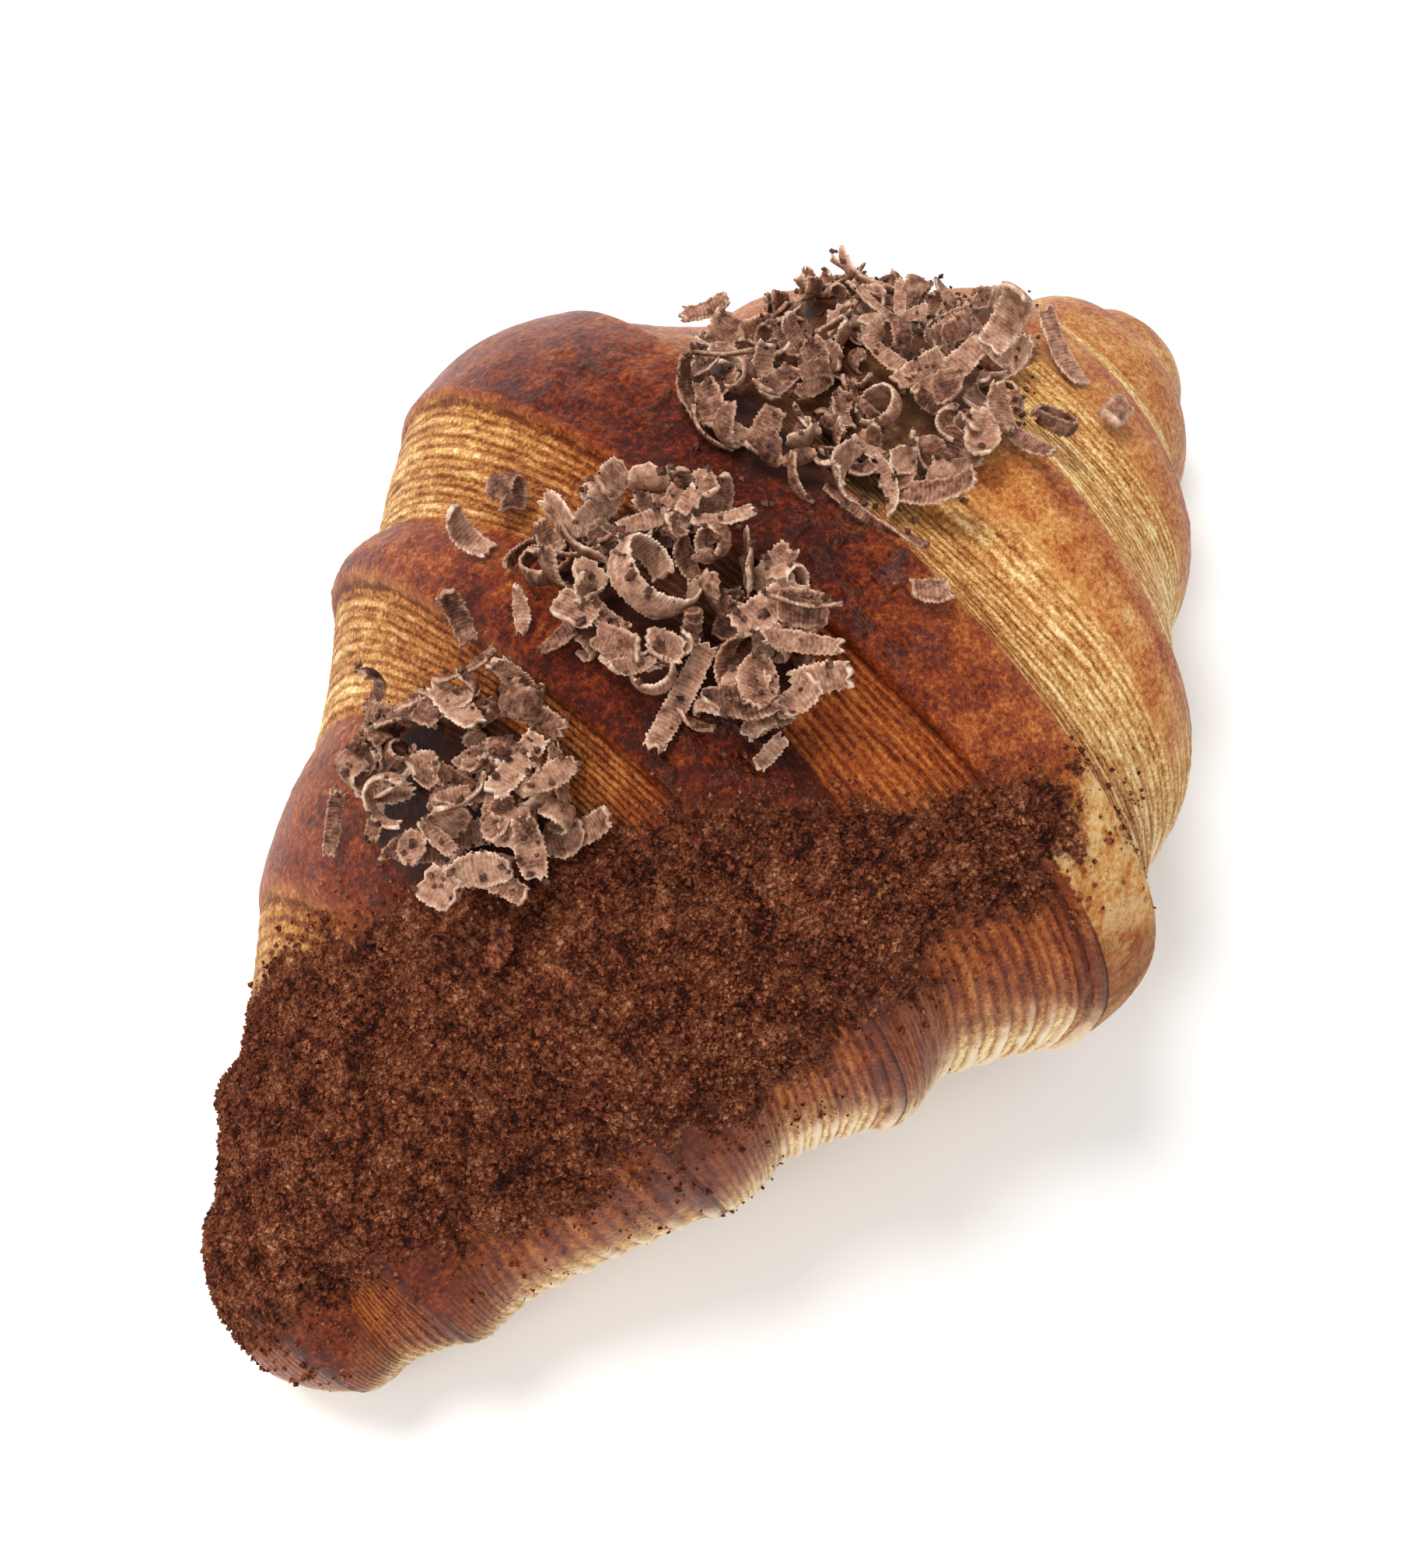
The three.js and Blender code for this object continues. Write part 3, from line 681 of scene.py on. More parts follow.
# Each clump lies in an ellipse on the table plane: its middle, half lengths and turn.
CLUMP_BEDS = {
    "near": dict(x=-40, y=1, long=12, wide=8.5, turn=90),
    "mid": dict(x=-16, y=-2, long=15, wide=9, turn=90),
    "far": dict(x=22, y=10, long=26, wide=16, turn=15),
}


def inside_bed(shaded_bed, points):
    """1 well inside a clump's ellipse, 0 outside, with a soft edge."""
    turn = math.radians(shaded_bed["turn"])
    x, y = points[..., 0] - shaded_bed["x"], points[..., 1] - shaded_bed["y"]
    along = (x * math.cos(turn) + y * math.sin(turn)) / shaded_bed["long"]
    across = (y * math.cos(turn) - x * math.sin(turn)) / shaded_bed["wide"]
    return smoothstep(1.04, 0.78, np.hypot(along, across))


def area_round(spot, points):
    """1 at the middle of a spot of the crust and 0 past its outer radius."""
    middle, outer, inner = spot
    return smoothstep(outer, inner, distance_from(middle, points))


def fine_layers(points, phi, turn, place, half):
    """The layers of the cut edge: their running number, ridge, and noise that follows them."""
    wobble = 0.14 * noise(points, 7.0, 3) + 0.08 * noise(points, 2.0, 4)
    across = place * LAYERS_IN_CUT_EDGE + wobble
    index = np.floor(across)
    key = np.stack([index * 7.3 + turn * 91.0 + half * 17.0, phi / 22.0, turn * 3.1], -1)
    bulge = noise(key, 1.0, 5)
    fleck = noise(key * np.array([1.0, 5.0, 1.0]), 1.0, 6)
    ridge = np.sin(np.pi * np.clip(across - index, 0, 1)) ** 0.7
    return across, ridge, bulge, fleck


def cut_areas(points, phi, turn, place, half, level):
    """Where the cut edge shows, with the golden slope and the low band that look like it."""
    rim = smoothstep(0.0, 0.07, place) * (1 - smoothstep(0.96, 1.0, place))
    cut = np.where(place < 1, rim, 0.0)
    hidden = (half > 0) * smoothstep(98.0, 116.0, phi) * (turn < 1)
    golden = (half > 0) * (turn >= 0) * (turn < 2) * (place >= 1) * smoothstep(128.0, 104.0, phi)
    golden = golden * smoothstep(1.5, 1.2, place + 0.12 * noise(points, 5.0, 24))
    low_band = smoothstep(70.0, 45.0, phi) * smoothstep(0.86, 0.62, level + 0.05 * noise(points, 6.0, 25))
    low_band = low_band * smoothstep(34.0, 24.0, points[..., 0])
    cut = np.maximum(np.maximum(cut, 0.92 * golden), 0.9 * low_band) * (1 - hidden)
    return cut, golden, low_band


def crust_areas(points, phi, turn, place, half):
    """Every area and pattern that the crust's height and tones are made from."""
    a = SimpleNamespace(x=points[..., 0], place=place)
    a.level = points[..., 2] / height_at(a.x)
    a.across, a.ridge, a.bulge, a.fleck = fine_layers(points, phi, turn, place, half)
    a.cut, a.golden, a.low_band = cut_areas(points, phi, turn, place, half, a.level)
    a.top = np.clip(np.sin(np.radians(phi)), 0, 1)
    a.wet = np.maximum(area_round(WET_SPOTS[0], points), area_round(WET_SPOTS[1], points))
    a.cocoa = cocoa_density(points) * smoothstep(0.22, 0.42, a.level)
    a.wrinkles = 1 - np.abs(noise(points * np.array([0.6, 1.0, 1.0]), 2.6, 21))
    edge = phi + 5 * noise(points, 6.0, 17) + 2 * noise(points, 1.8, 19)
    a.lobe = (turn < 0) * smoothstep(40.0, 34.0, edge)
    a.folds = 0.5 + 0.5 * np.sin(np.pi * a.across)
    a.base = smoothstep(0.6, 0.36, a.level + 0.07 * noise(points, 8.0, 15) + 0.04 * noise(points, 2.0, 27))
    return a


def crust_height(points, a):
    """Height of the fine detail over the smooth crust, in mm."""
    grain = noise(points, 0.8, 10)
    gap = smoothstep(0.45, 0.9, a.bulge) * (1 - a.ridge)
    low_side = smoothstep(0.75, 0.45, a.level)
    on_cut = (0.12 + 0.13 * low_side) * (a.ridge - 0.6) + 0.08 * a.bulge + 0.06 * grain - 0.14 * gap
    on_cut = on_cut + 0.42 * a.low_band * (a.folds - 0.5) * (0.7 + 0.3 * a.bulge)

    blistered = area_round(BLISTERED, points)
    blistered = np.maximum(blistered, 0.3 * smoothstep(0.0, 0.5, noise(points, 12.0, 8)))
    skin = 0.14 * fractal(points, 9.0, 11) + 0.05 * fractal(points, 2.2, 12)
    telegraph = 0.04 * np.sin(2 * np.pi * (a.across + 0.5 * a.bulge)) * a.top
    on_skin = skin + telegraph + 0.4 * bubbles(points, 1.7, 9) * blistered + 0.2 * a.wet * grain
    on_skin = on_skin + a.lobe * (0.3 * a.wrinkles + 0.16 * noise(points, 0.9, 22))

    body_end = smoothstep(83.0, 72.0, np.abs(a.x))
    height = a.cut * on_cut * body_end + (1 - a.cut) * on_skin
    crack = smoothstep(0.5, 1.0, 1 - a.ridge) * smoothstep(0.0, 0.5, a.bulge)
    crack = crack * np.where(a.place < 1, 1.0, 0.6)
    crumbs = 0.5 - np.abs(noise(points, 2.4, 28))
    lumps = 0.5 * fractal(points, 4.0, 13) + 0.3 * crumbs + 0.22 * noise(points, 0.9, 14) - 0.55 * crack
    return height * (1 - 0.55 * a.cocoa) + smoothstep(0.2, 0.7, a.cocoa) * (0.12 + lumps)


def layer_tone(phi, a):
    """How pale the layers of the cut edge are, from 0 to 1."""
    side = np.abs(np.cos(np.radians(phi)))
    layer = 0.52 + 0.2 * a.bulge + 0.14 * a.fleck
    layer = layer + 0.16 * smoothstep(0.3, 1.0, side) * smoothstep(0.2, 0.9, a.place)
    layer = layer - 0.3 * smoothstep(0.22, 0.0, a.place) - 0.12 * smoothstep(0.8, 1.0, a.place)
    layer = layer - 0.04 + 0.2 * smoothstep(0.0, 20.0, a.x)
    # Near the base the layers are paler dough, lightened further as painted light, with painted highlights on
    # the ridge tops.
    return layer + (0.14 + 0.3 * a.ridge) * a.base + 0.1 * a.golden


def brown_tone(points, phi, turn, near, a):
    """How dark the glazed crust is baked, from 0 to 1."""
    streak = noise(np.stack([a.place * 6, phi / 50.0, turn * 9.0], -1), 1.0, 18)
    brown = 0.38 + 0.4 * near + 0.1 * smoothstep(0.5, 1.0, a.place - 1) + 0.1 * fractal(points, 14.0, 16)
    brown = brown + 0.07 * streak + 0.12 * near * a.top**2
    brown = brown - 0.26 * a.base - 0.2 * near * smoothstep(92.0, 125.0, phi)
    pits = smoothstep(0.3, 0.8, noise(points, 1.1, 23))
    patchy = 0.1 + 0.2 * fractal(points, 5.0, 20) + 0.22 * (0.75 - a.wrinkles) + 0.4 * pits
    return brown * (1 - a.lobe) + patchy * a.lobe


def crust_masks(points, phi, turn, half, a):
    """The masks that the crust's material reads from the mesh."""
    near = smoothstep(26.0, -14.0, a.x - 0.25 * points[..., 1])
    near_side = smoothstep(80.0, 55.0, phi) * smoothstep(10.0, -6.0, a.x)
    glaze = np.clip(1 - 0.6 * a.base - a.lobe, 0, 1) * (1 - 0.7 * a.cut * (1 - near_side))
    stain = near * (0.75 * smoothstep(0.6, 0.95, a.top)) + near_side * smoothstep(0.44, 0.66, a.level)
    # Where the clumps lie: the crust there is painted dark, as shadow between the shavings and as chocolate
    # dust.
    shaded_bed = np.zeros(a.x.shape)
    for clump_bed in CLUMP_BEDS.values():
        shaded_bed = np.maximum(shaded_bed, inside_bed(clump_bed, points))
    # Painted highlight: near-white glints on the ridge tops of the cut layers near the base.
    pale = a.base * a.cut * smoothstep(0.35, 0.9, a.folds + 0.3 * a.fleck)
    return {
        "across": a.across,
        "along": phi * 0.7 + turn * 300.0 + half * 40.0,
        "shaded_bed": shaded_bed * (1 - smoothstep(0.3, 0.8, a.cocoa)),
        "pale": 0.8 * pale * smoothstep(110.0, 80.0, phi),
        "cut": a.cut,
        "layer": np.clip(layer_tone(phi, a), 0, 1),
        "brown": np.clip(brown_tone(points, phi, turn, near, a), 0, 1),
        "glaze": np.clip(glaze, 0, 1),
        "stain": np.clip(stain, 0, 1),
        "cocoa": a.cocoa,
        "wet": a.wet * (1 - a.cut) * smoothstep(-0.1, 0.35, noise(points, 1.6, 26)),
    }


def crust_relief(points, phi, turn, place, half):
    """Height of the fine detail over the smooth crust in mm, and the masks for the material."""
    half = np.broadcast_to(half, points.shape[:-1])
    areas = crust_areas(points, phi, turn, place, half)
    return crust_height(points, areas), crust_masks(points, phi, turn, half, areas)


def surface_normals(points):
    along = np.gradient(points, axis=0)
    across = np.gradient(points, axis=1)
    normals = np.cross(along, across)
    return normals / np.maximum(np.linalg.norm(normals, axis=-1, keepdims=True), 1e-9)


def build_croissant(material):
    """The crust as one closed mesh, and its points, normals and cocoa mask for what lies on it."""
    x, phi, turn, place = roll_grid()
    points = crust_points(x, phi, step_profile(place))
    points[:, 0, 2] = 0.0
    points[:, -1, 2] = 0.0
    normals = surface_normals(points)
    height, masks = crust_relief(points, phi, turn, place, np.sign(x))
    off_table = smoothstep(0.0, 3.0, points[..., 2])
    inner_end = smoothstep(TIP_HALF_LENGTH, TIP_HALF_LENGTH - 5.0, np.abs(x))
    moved = points + normals * (height * off_table * inner_end)[..., None]
    moved[..., 2] = np.maximum(moved[..., 2], 0.0)

    rows, columns = x.shape
    quads = grid_quads(rows, columns)
    i = np.arange(rows - 1) * columns
    j = i + columns - 1
    under = np.stack([j, j + columns, i + columns, i], -1)
    caps = []
    for row, order in ((0, 1), (rows - 1, -1)):
        start = row * columns
        for k in range(columns // 2 - 1):
            quad = [start + k, start + k + 1, start + columns - 2 - k, start + columns - 1 - k]
            caps.append(quad[::order])
    quads = np.concatenate([quads, under, np.array(caps)])
    piece = mesh_object("croissant_crust", moved, quads, material, masks)
    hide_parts("croissant")
    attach(piece, "root")
    return moved, normals, masks["cocoa"]


# ------------------------------------------------------------------ the chocolate shavings
# Every shaving of the CAD model, by clump, with the same numbers. Lengths in mm, angles in degrees.
CLUMPS = {
    # on the near shoulder
    "near": [
        dict(name="strip_a", x=-49, y=8.5, length=7, width=1.8, bend=70, tip=50, yaw=35),
        dict(name="leaf_a", x=-46, y=6, length=5, width=2.6, bend=50, yaw=20),
        dict(name="flake_a", x=-40.5, y=-3.5, length=6.8, width=2.9, bend=35, yaw=-35),
        dict(name="leaf_b", x=-41.5, y=10.5, length=4.5, width=2.4, bend=70, yaw=70),
        dict(name="tube", x=-36, y=6, length=8.5, width=3.6, bend=170, open_start=0.6, tip=180, yaw=5),
        dict(name="ring_a", x=-36, y=-5, length=9, width=2, bend=290, tip=70, yaw=20),
        dict(name="flake_b", x=-45.5, y=-1.5, length=5.4, width=2.4, bend=80, yaw=130),
        dict(name="curl_a", x=-41, y=0.5, length=8, width=2.2, bend=250, open_start=0.5, tip=20, yaw=10),
        dict(name="flake_c", x=-31, y=2.5, length=5, width=3, bend=40, pitch=-15, yaw=60),
        dict(name="curl_b", x=-45.5, y=2.5, length=9, width=1.8, bend=230, tip=60, yaw=140),
        dict(name="leaf_c", x=-34, y=-10.5, length=5.2, width=2.6, bend=50, yaw=-20),
        dict(name="flake_d", x=-32, y=-1.5, length=5.6, width=2.6, bend=90, pitch=20, yaw=100),
        dict(name="strip_b", x=-40, y=13, length=7.5, width=1.6, bend=110, tip=30, yaw=-10),
    ],
    # the big curls on the middle of the roll
    "mid": [
        dict(name="flake_long", x=-22, y=-9, length=10.5, width=2.5, bend=25, yaw=21),
        dict(name="spiral", x=-21.5, y=10, length=24, width=2, bend=560, open_start=0.45, tip=80, yaw=30),
        dict(name="ring_open", x=-19, y=2, length=13, width=2.2, bend=210, open_start=0.8, tip=70, yaw=110),
        dict(name="flake_a", x=-13, y=-6, length=3.8, width=3.2, bend=45, yaw=15),
        dict(name="ring_big", x=-17.5, y=-1, length=22, width=3.4, bend=350, open_start=0.2,
             tip=59, yaw=-137),
        dict(name="ring_small", x=-23, y=-6.5, length=9, width=1.9, bend=300, tip=85, yaw=0),
        dict(name="curl_a", x=-11, y=-1, length=7.5, width=1.9, bend=300, open_start=0.7, tip=60, yaw=60),
        dict(name="ribbed", x=-9, y=5.5, length=4.6, width=3.4, bend=70, pitch=-10, yaw=50),
        dict(name="fold", x=-12.5, y=-11, length=7.5, width=2.8, bend=190, open_start=0.5, yaw=-60),
        dict(name="flake_b", x=-8, y=-5.5, length=5, width=2.6, bend=50, pitch=15, yaw=0),
        dict(name="fin_a", x=-13, y=-16.5, length=5.6, width=3, bend=60, tip=25, yaw=-25),
        dict(name="fin_b", x=-19.5, y=-17.5, length=3.6, width=1.8, bend=50, yaw=10),
        dict(name="flake_c", x=-17.5, y=-10.5, length=6, width=2.4, bend=120, tip=20, yaw=75),
        dict(name="leaf_a", x=-25.5, y=2.5, length=6, width=2.2, bend=60, end_width=0.35, yaw=-18),
        dict(name="leaf_b", x=-26.5, y=7, length=4.4, width=2, bend=60, end_width=0.4, yaw=40),
        dict(name="hook", x=-30.5, y=11, length=5.5, width=2.4, bend=90, open_start=0.5, tip=30, yaw=60),
        dict(name="clump_a", x=-18.5, y=18.5, length=7, width=3.4, bend=240, open_start=0.5, yaw=35),
        dict(name="clump_b", x=-24, y=17.5, length=6, width=3, bend=120, yaw=110),
        dict(name="lone_square", x=2, y=-16, length=3.8, width=3.2, bend=45, yaw=-45),
    ],
    # spread over the far half
    "far": [
        dict(name="flake_a", x=3, y=14, length=6, width=3.6, bend=50, yaw=-40),
        dict(name="flake_b", x=3, y=6.5, length=4.6, width=3, bend=70, yaw=20),
        dict(name="string", x=3.5, y=-7.5, length=11, width=1.3, bend=20, twist=200, yaw=-85),
        dict(name="flake_c", x=10, y=13, length=6, width=3, bend=90, yaw=70),
        dict(name="ring_a", x=17, y=4, length=12, width=2.2, bend=320, tip=65, yaw=45),
        dict(name="wide", x=12.5, y=-7, length=9, width=3.4, bend=70, open_start=0.4, yaw=-50),
        dict(name="flake_d", x=19, y=-4.5, length=4.4, width=4, bend=50, yaw=25),
        dict(name="flake_e", x=10, y=2, length=5.4, width=2.6, bend=100, yaw=140),
        dict(name="curl_a", x=14, y=10.5, length=9, width=2.4, bend=260, open_start=0.5, tip=20, yaw=-20),
        dict(name="rectangle", x=24.5, y=1.5, length=8.5, width=3.4, bend=35, pitch=-8, yaw=-5),
        dict(name="fin_a", x=26, y=-9, length=5.5, width=2.2, bend=50, tip=35, yaw=-85),
        dict(name="curl_b", x=25, y=9, length=9.5, width=2.6, bend=280, open_start=0.5, yaw=60),
        dict(name="curl_c", x=31, y=6.5, length=10, width=3, bend=300, open_start=0.6, tip=30, yaw=15),
        dict(name="curl_big", x=28.5, y=-0.5, length=9, width=3.8, bend=130, tip=180, yaw=9),
        dict(name="curl_d", x=33.5, y=14, length=9, width=3, bend=290, open_start=0.6, yaw=20),
        dict(name="flake_long", x=47, y=1.5, length=10, width=3.2, bend=40, yaw=75),
        dict(name="chip", x=45, y=-8.5, length=3.4, width=3.2, bend=10, thickness=2, end_width=1, yaw=10),
        dict(name="ring_b", x=33.5, y=-7, length=12, width=2, bend=300, tip=75, yaw=0),
        dict(name="flake_f", x=19, y=17, length=5.5, width=2.8, bend=80, pitch=-20, yaw=100),
        dict(name="fin_b", x=16.5, y=28.5, length=5.5, width=3, bend=60, tip=30, yaw=-30),
        dict(name="flake_g", x=27.5, y=23.5, length=4, width=2.6, bend=60, end_width=0.3,
             pitch=-30, yaw=50),
        dict(name="flake_h", x=7, y=9, length=6, width=2.8, bend=70, pitch=20, yaw=10),
    ],
    # half buried in cocoa powder
    "cocoa": [
        dict(name="flake_a", x=-46, y=-12, length=6, width=2.6, bend=60, yaw=10),
        dict(name="flake_b", x=-44, y=-18, length=5, width=2.2, bend=60, yaw=-60),
        dict(name="flake_c", x=-34, y=-20, length=5, width=2, bend=70, yaw=35),
        dict(name="flake_d", x=-62, y=-7, length=5.6, width=2.6, bend=80, yaw=-20),
    ],
}

BEND_PER_PART = 30.0
SHAVING_THICKNESS = 0.6
FINE_THICKNESS = 0.48
SLOPE_REACH = 3.0


def bend_done(t, open_start):
    """The share of the whole bend that is done at t."""
    return (2 * open_start * t + (1 - open_start) * t * t) / (1 + open_start)


def ribbon_line(piece, count):
    """Points, headings, and the across and up directions along a shaving's middle line."""
    bend = math.radians(piece.get("bend", 20))
    open_start = piece.get("open_start", 1)
    twist = math.radians(piece.get("twist", 0))
    t = np.linspace(0, 1, count + 1)
    heading = bend * bend_done(t, open_start)
    course = (heading[1:] + heading[:-1]) / 2
    step = piece["length"] / count
    zero = np.zeros(1)
    at_x = np.concatenate([zero, np.cumsum(step * np.cos(course))])
    at_z = np.concatenate([zero, np.cumsum(step * np.sin(course))])
    at = np.stack([at_x, 0 * at_x, at_z], -1)
    along = np.stack([np.cos(heading), 0 * heading, np.sin(heading)], -1)
    sideways = np.stack([-along[:, 2], 0 * heading, along[:, 0]], -1)
    turned = (twist * t)[:, None]
    across = np.cos(turned) * np.array([0.0, 1.0, 0.0]) + np.sin(turned) * sideways
    up = np.cross(along, across)
    return t, at, along, across, up


# How far from its torn ends a shaving is ragged.
RAGGED_REACH = 1.2


def half_width(piece, t):
    """Half the width of a shaving along its length, narrower at both ends."""
    return piece["width"] / 2 * (1 - (1 - piece.get("end_width", 0.85)) * (2 * t - 1) ** 2)


def coarse_corners(piece):
    """The corners of the CAD model's own shaving, before it is centred."""
    most = max(piece.get("bend", 20), piece.get("twist", 0))
    t, at, _, across, up = ribbon_line(piece, max(4, math.ceil(most / BEND_PER_PART)))
    half = half_width(piece, t)[:, None]
    rise = up * piece.get("thickness", SHAVING_THICKNESS) / 2
    corners = [at + across * half * side + rise * face for side in (-1, 1) for face in (-1, 1)]
    return np.concatenate(corners)


def slope_at(x, y):
    """The direction square to the roll's top under a point."""
    rise_x = roll_height(x + SLOPE_REACH, y) - roll_height(x - SLOPE_REACH, y)
    rise_y = roll_height(x, y + SLOPE_REACH) - roll_height(x, y - SLOPE_REACH)
    return Vector((-rise_x, -rise_y, 2 * SLOPE_REACH)).normalized()


def orientation_of(piece):
    """tip turns the curl axis up, pitch lifts one end, yaw turns the piece about the vertical."""
    tip = Matrix.Rotation(math.radians(piece.get("tip", 0)), 3, "X")
    pitch = Matrix.Rotation(math.radians(piece.get("pitch", 0)), 3, "Y")
    yaw = Matrix.Rotation(math.radians(piece["yaw"]), 3, "Z")
    lean = Vector((0, 0, 1)).rotation_difference(slope_at(piece["x"], piece["y"])).to_matrix()
    return np.array(lean @ yaw @ tip @ pitch)


def shaving_mesh(piece, rng, spacing):
    """Points, quads and masks of one scraped shaving: ribbed faces, toothed edges, ragged ends."""
    length = piece["length"]
    count = max(8, math.ceil(length / spacing))
    t, at, along, across, up = ribbon_line(piece, count)
    u = t * length
    s = np.array([-1, -0.93, -0.7, -0.35, 0, 0.35, 0.7, 0.93, 1.0])
    pitch = rng.uniform(0.32, 0.46)
    phase = rng.uniform(0, 1, 4)
    drift = 0.12 * np.sin(u * 0.9 + 6.28 * phase[3])
    teeth_left = np.abs(((u + drift) / pitch + phase[0]) % 1.0 - 0.5) * 2
    teeth_right = np.abs(((u - drift) / pitch + phase[1]) % 1.0 - 0.5) * 2
    big = np.abs((u / (2.7 * pitch) + phase[2]) % 1.0 - 0.5) * 2
    tooth = min(0.36, 0.15 * piece["width"])
    half = half_width(piece, t) - 0.5 * tooth
    depth = rng.uniform(0.25, 1.0, (2, 200))
    which = np.clip((u / pitch).astype(int), 0, 199)
    left = half + tooth * (0.8 * teeth_left * depth[0][which] + 0.4 * big - 0.4)
    right = half + tooth * (0.8 * teeth_right * depth[1][which] + 0.4 * (1 - big) - 0.4)
    width = np.where(s[None, :] < 0, left[:, None], right[:, None]) * s[None, :]
    rib = 0.5 + 0.5 * np.cos(2 * np.pi * ((u[:, None] + 0.15 * s[None, :] ** 2) / pitch + phase[0]))
    thickness = min(piece.get("thickness", SHAVING_THICKNESS), 3 * FINE_THICKNESS)
    if thickness <= SHAVING_THICKNESS:
        thickness = FINE_THICKNESS
    body = thickness * (1 - 0.75 * np.abs(s) ** 6)
    cup = 0.06 * piece["width"] * (s**2 - 0.4)
    wave = 0.1 * np.sin(u * rng.uniform(0.8, 1.6) + 6.28 * phase[1])[:, None] * s[None, :]
    middle = cup[None, :] + wave
    ragged = rng.uniform(-1, 1, (2, len(s))) * min(0.4, 0.08 * length)
    first_end = np.clip(1 - u / RAGGED_REACH, 0, 1)[:, None] * ragged[0]
    last_end = np.clip(1 - (length - u) / RAGGED_REACH, 0, 1)[:, None] * ragged[1]
    pull = first_end + last_end
    centre = at[:, None, :] + across[:, None, :] * width[..., None] + along[:, None, :] * pull[..., None]
    top = centre + up[:, None, :] * (middle + 0.5 * body[None, :] + 0.035 * (rib - 0.5))[..., None]
    low = centre + up[:, None, :] * (middle - 0.5 * body[None, :] + 0.03 * (rib - 0.5))[..., None]
    loop = np.concatenate([top, low[:, ::-1]], 1)
    rows, around = loop.shape[:2]
    quads = []
    for i in range(rows - 1):
        for k in range(around):
            a = i * around + k
            b = i * around + (k + 1) % around
            quads.append((a, a + around, b + around, b))
    last = (rows - 1) * around
    for k in range(len(s) - 1):
        j = around - 1 - k
        quads.append((k, k + 1, j - 1, j))
        quads.append((last + j, last + j - 1, last + k + 1, last + k))
    rim = smoothstep(0.8, 1.0, np.abs(s))[None, :] * np.ones((rows, 1))
    ends = np.clip(1 - np.minimum(u, length - u) / 0.3, 0, 1)[:, None]
    edge = np.maximum(rim, ends)
    masks = {
        "edge": np.concatenate([edge, edge[:, ::-1]], 1).ravel(),
        "rib": np.concatenate([rib, 0.55 * rib[:, ::-1]], 1).ravel(),
        "shade": np.full(rows * around, rng.uniform(0, 1)),
    }
    return loop.reshape(-1, 3), np.array(quads), masks


def placed_like_cad(piece, points, node):
    """Turns a shaving as in the CAD model, and moves it where its CAD node is."""
    turn = orientation_of(piece)
    coarse = coarse_corners(piece) @ turn.T
    low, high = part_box(node)
    target = np.array(low + high) / 2 / MM
    return points @ turn.T + target - (coarse.min(0) + coarse.max(0)) / 2


def build_cad_shavings(chocolate, cocoa):
    placed = []
    for clump, pieces in CLUMPS.items():
        for number, piece in enumerate(pieces):
            node = clump + "_" + piece["name"]
            rng = np.random.default_rng([len(clump), ord(clump[0]), number])
            points, quads, masks = shaving_mesh(piece, rng, 0.09)
            points = placed_like_cad(piece, points, node)
            covered = clump == "cocoa"
            shaving = mesh_object(node + "_shaving", points, quads, cocoa if covered else chocolate, masks)
            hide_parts(node)
            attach(shaving, "root")
            placed.append(points)
    return np.concatenate(placed)


# ------------------------------------------------------------------ what lies loose on the roll
FIELD_CELL = 0.5
FIELD_X = 92.0
FIELD_Y = 62.0
TOP_LIMIT = 68.4


class Field:
    """The highest point so far over every cell of the table."""

    def __init__(self):
        self.shape = (int(2 * FIELD_X / FIELD_CELL), int(2 * FIELD_Y / FIELD_CELL))
        self.z = np.zeros(self.shape)

    def cells(self, points):
        i = np.clip(((points[:, 0] + FIELD_X) / FIELD_CELL).astype(int), 0, self.shape[0] - 1)
        j = np.clip(((points[:, 1] + FIELD_Y) / FIELD_CELL).astype(int), 0, self.shape[1] - 1)
        return i, j

    def raise_to(self, points):
        i, j = self.cells(points)
        np.maximum.at(self.z, (i, j), points[:, 2])

    def lift(self, points, share):
        """How far points must rise so that this share of them clears what is below."""
        i, j = self.cells(points)
        return np.quantile(self.z[i, j] - points[:, 2], share)


# How many loose bits each clump holds, and how high it piles up.
FLAKES = {"near": 170, "mid": 180, "far": 290}
PILE_HEIGHT = {"near": 8.0, "mid": 7.0, "far": 5.5}
CRUMBS = {"near": 220, "mid": 180, "far": 320}


def point_in(shaded_bed, rng, spread):
    """A random point of a clump's ellipse, spread out past its edge when spread is over 1."""
    turn = math.radians(shaded_bed["turn"])
    share = math.sqrt(rng.uniform(0, 1)) * spread
    angle = rng.uniform(0, 2 * math.pi)
    along = share * shaded_bed["long"] * math.cos(angle)
    across = share * shaded_bed["wide"] * math.sin(angle)
    x = shaded_bed["x"] + along * math.cos(turn) - across * math.sin(turn)
    y = shaded_bed["y"] + along * math.sin(turn) + across * math.cos(turn)
    return np.array([x, y])


def random_flake(rng):
    curl = rng.uniform(0, 1)
    return dict(
        length=rng.uniform(2.4, 7.4),
        width=rng.uniform(1.4, 4.2),
        bend=rng.uniform(10, 95) if curl < 0.75 else rng.uniform(130, 280),
        open_start=rng.uniform(0.5, 1.0),
        end_width=rng.uniform(0.4, 0.95),
        twist=rng.uniform(0, 30),
        tip=rng.normal(0, 26),
        pitch=rng.normal(0, 20),
        yaw=rng.uniform(0, 360),
    )


def joined(parts):
    points, quads, masks, start = [], [], {}, 0
    for some_points, some_quads, some_masks in parts:
        points.append(some_points)
        quads.append(some_quads + start)
        start += len(some_points)
        for key, values in some_masks.items():
            masks.setdefault(key, []).append(values)
    return np.concatenate(points), np.concatenate(quads), {k: np.concatenate(v) for k, v in masks.items()}


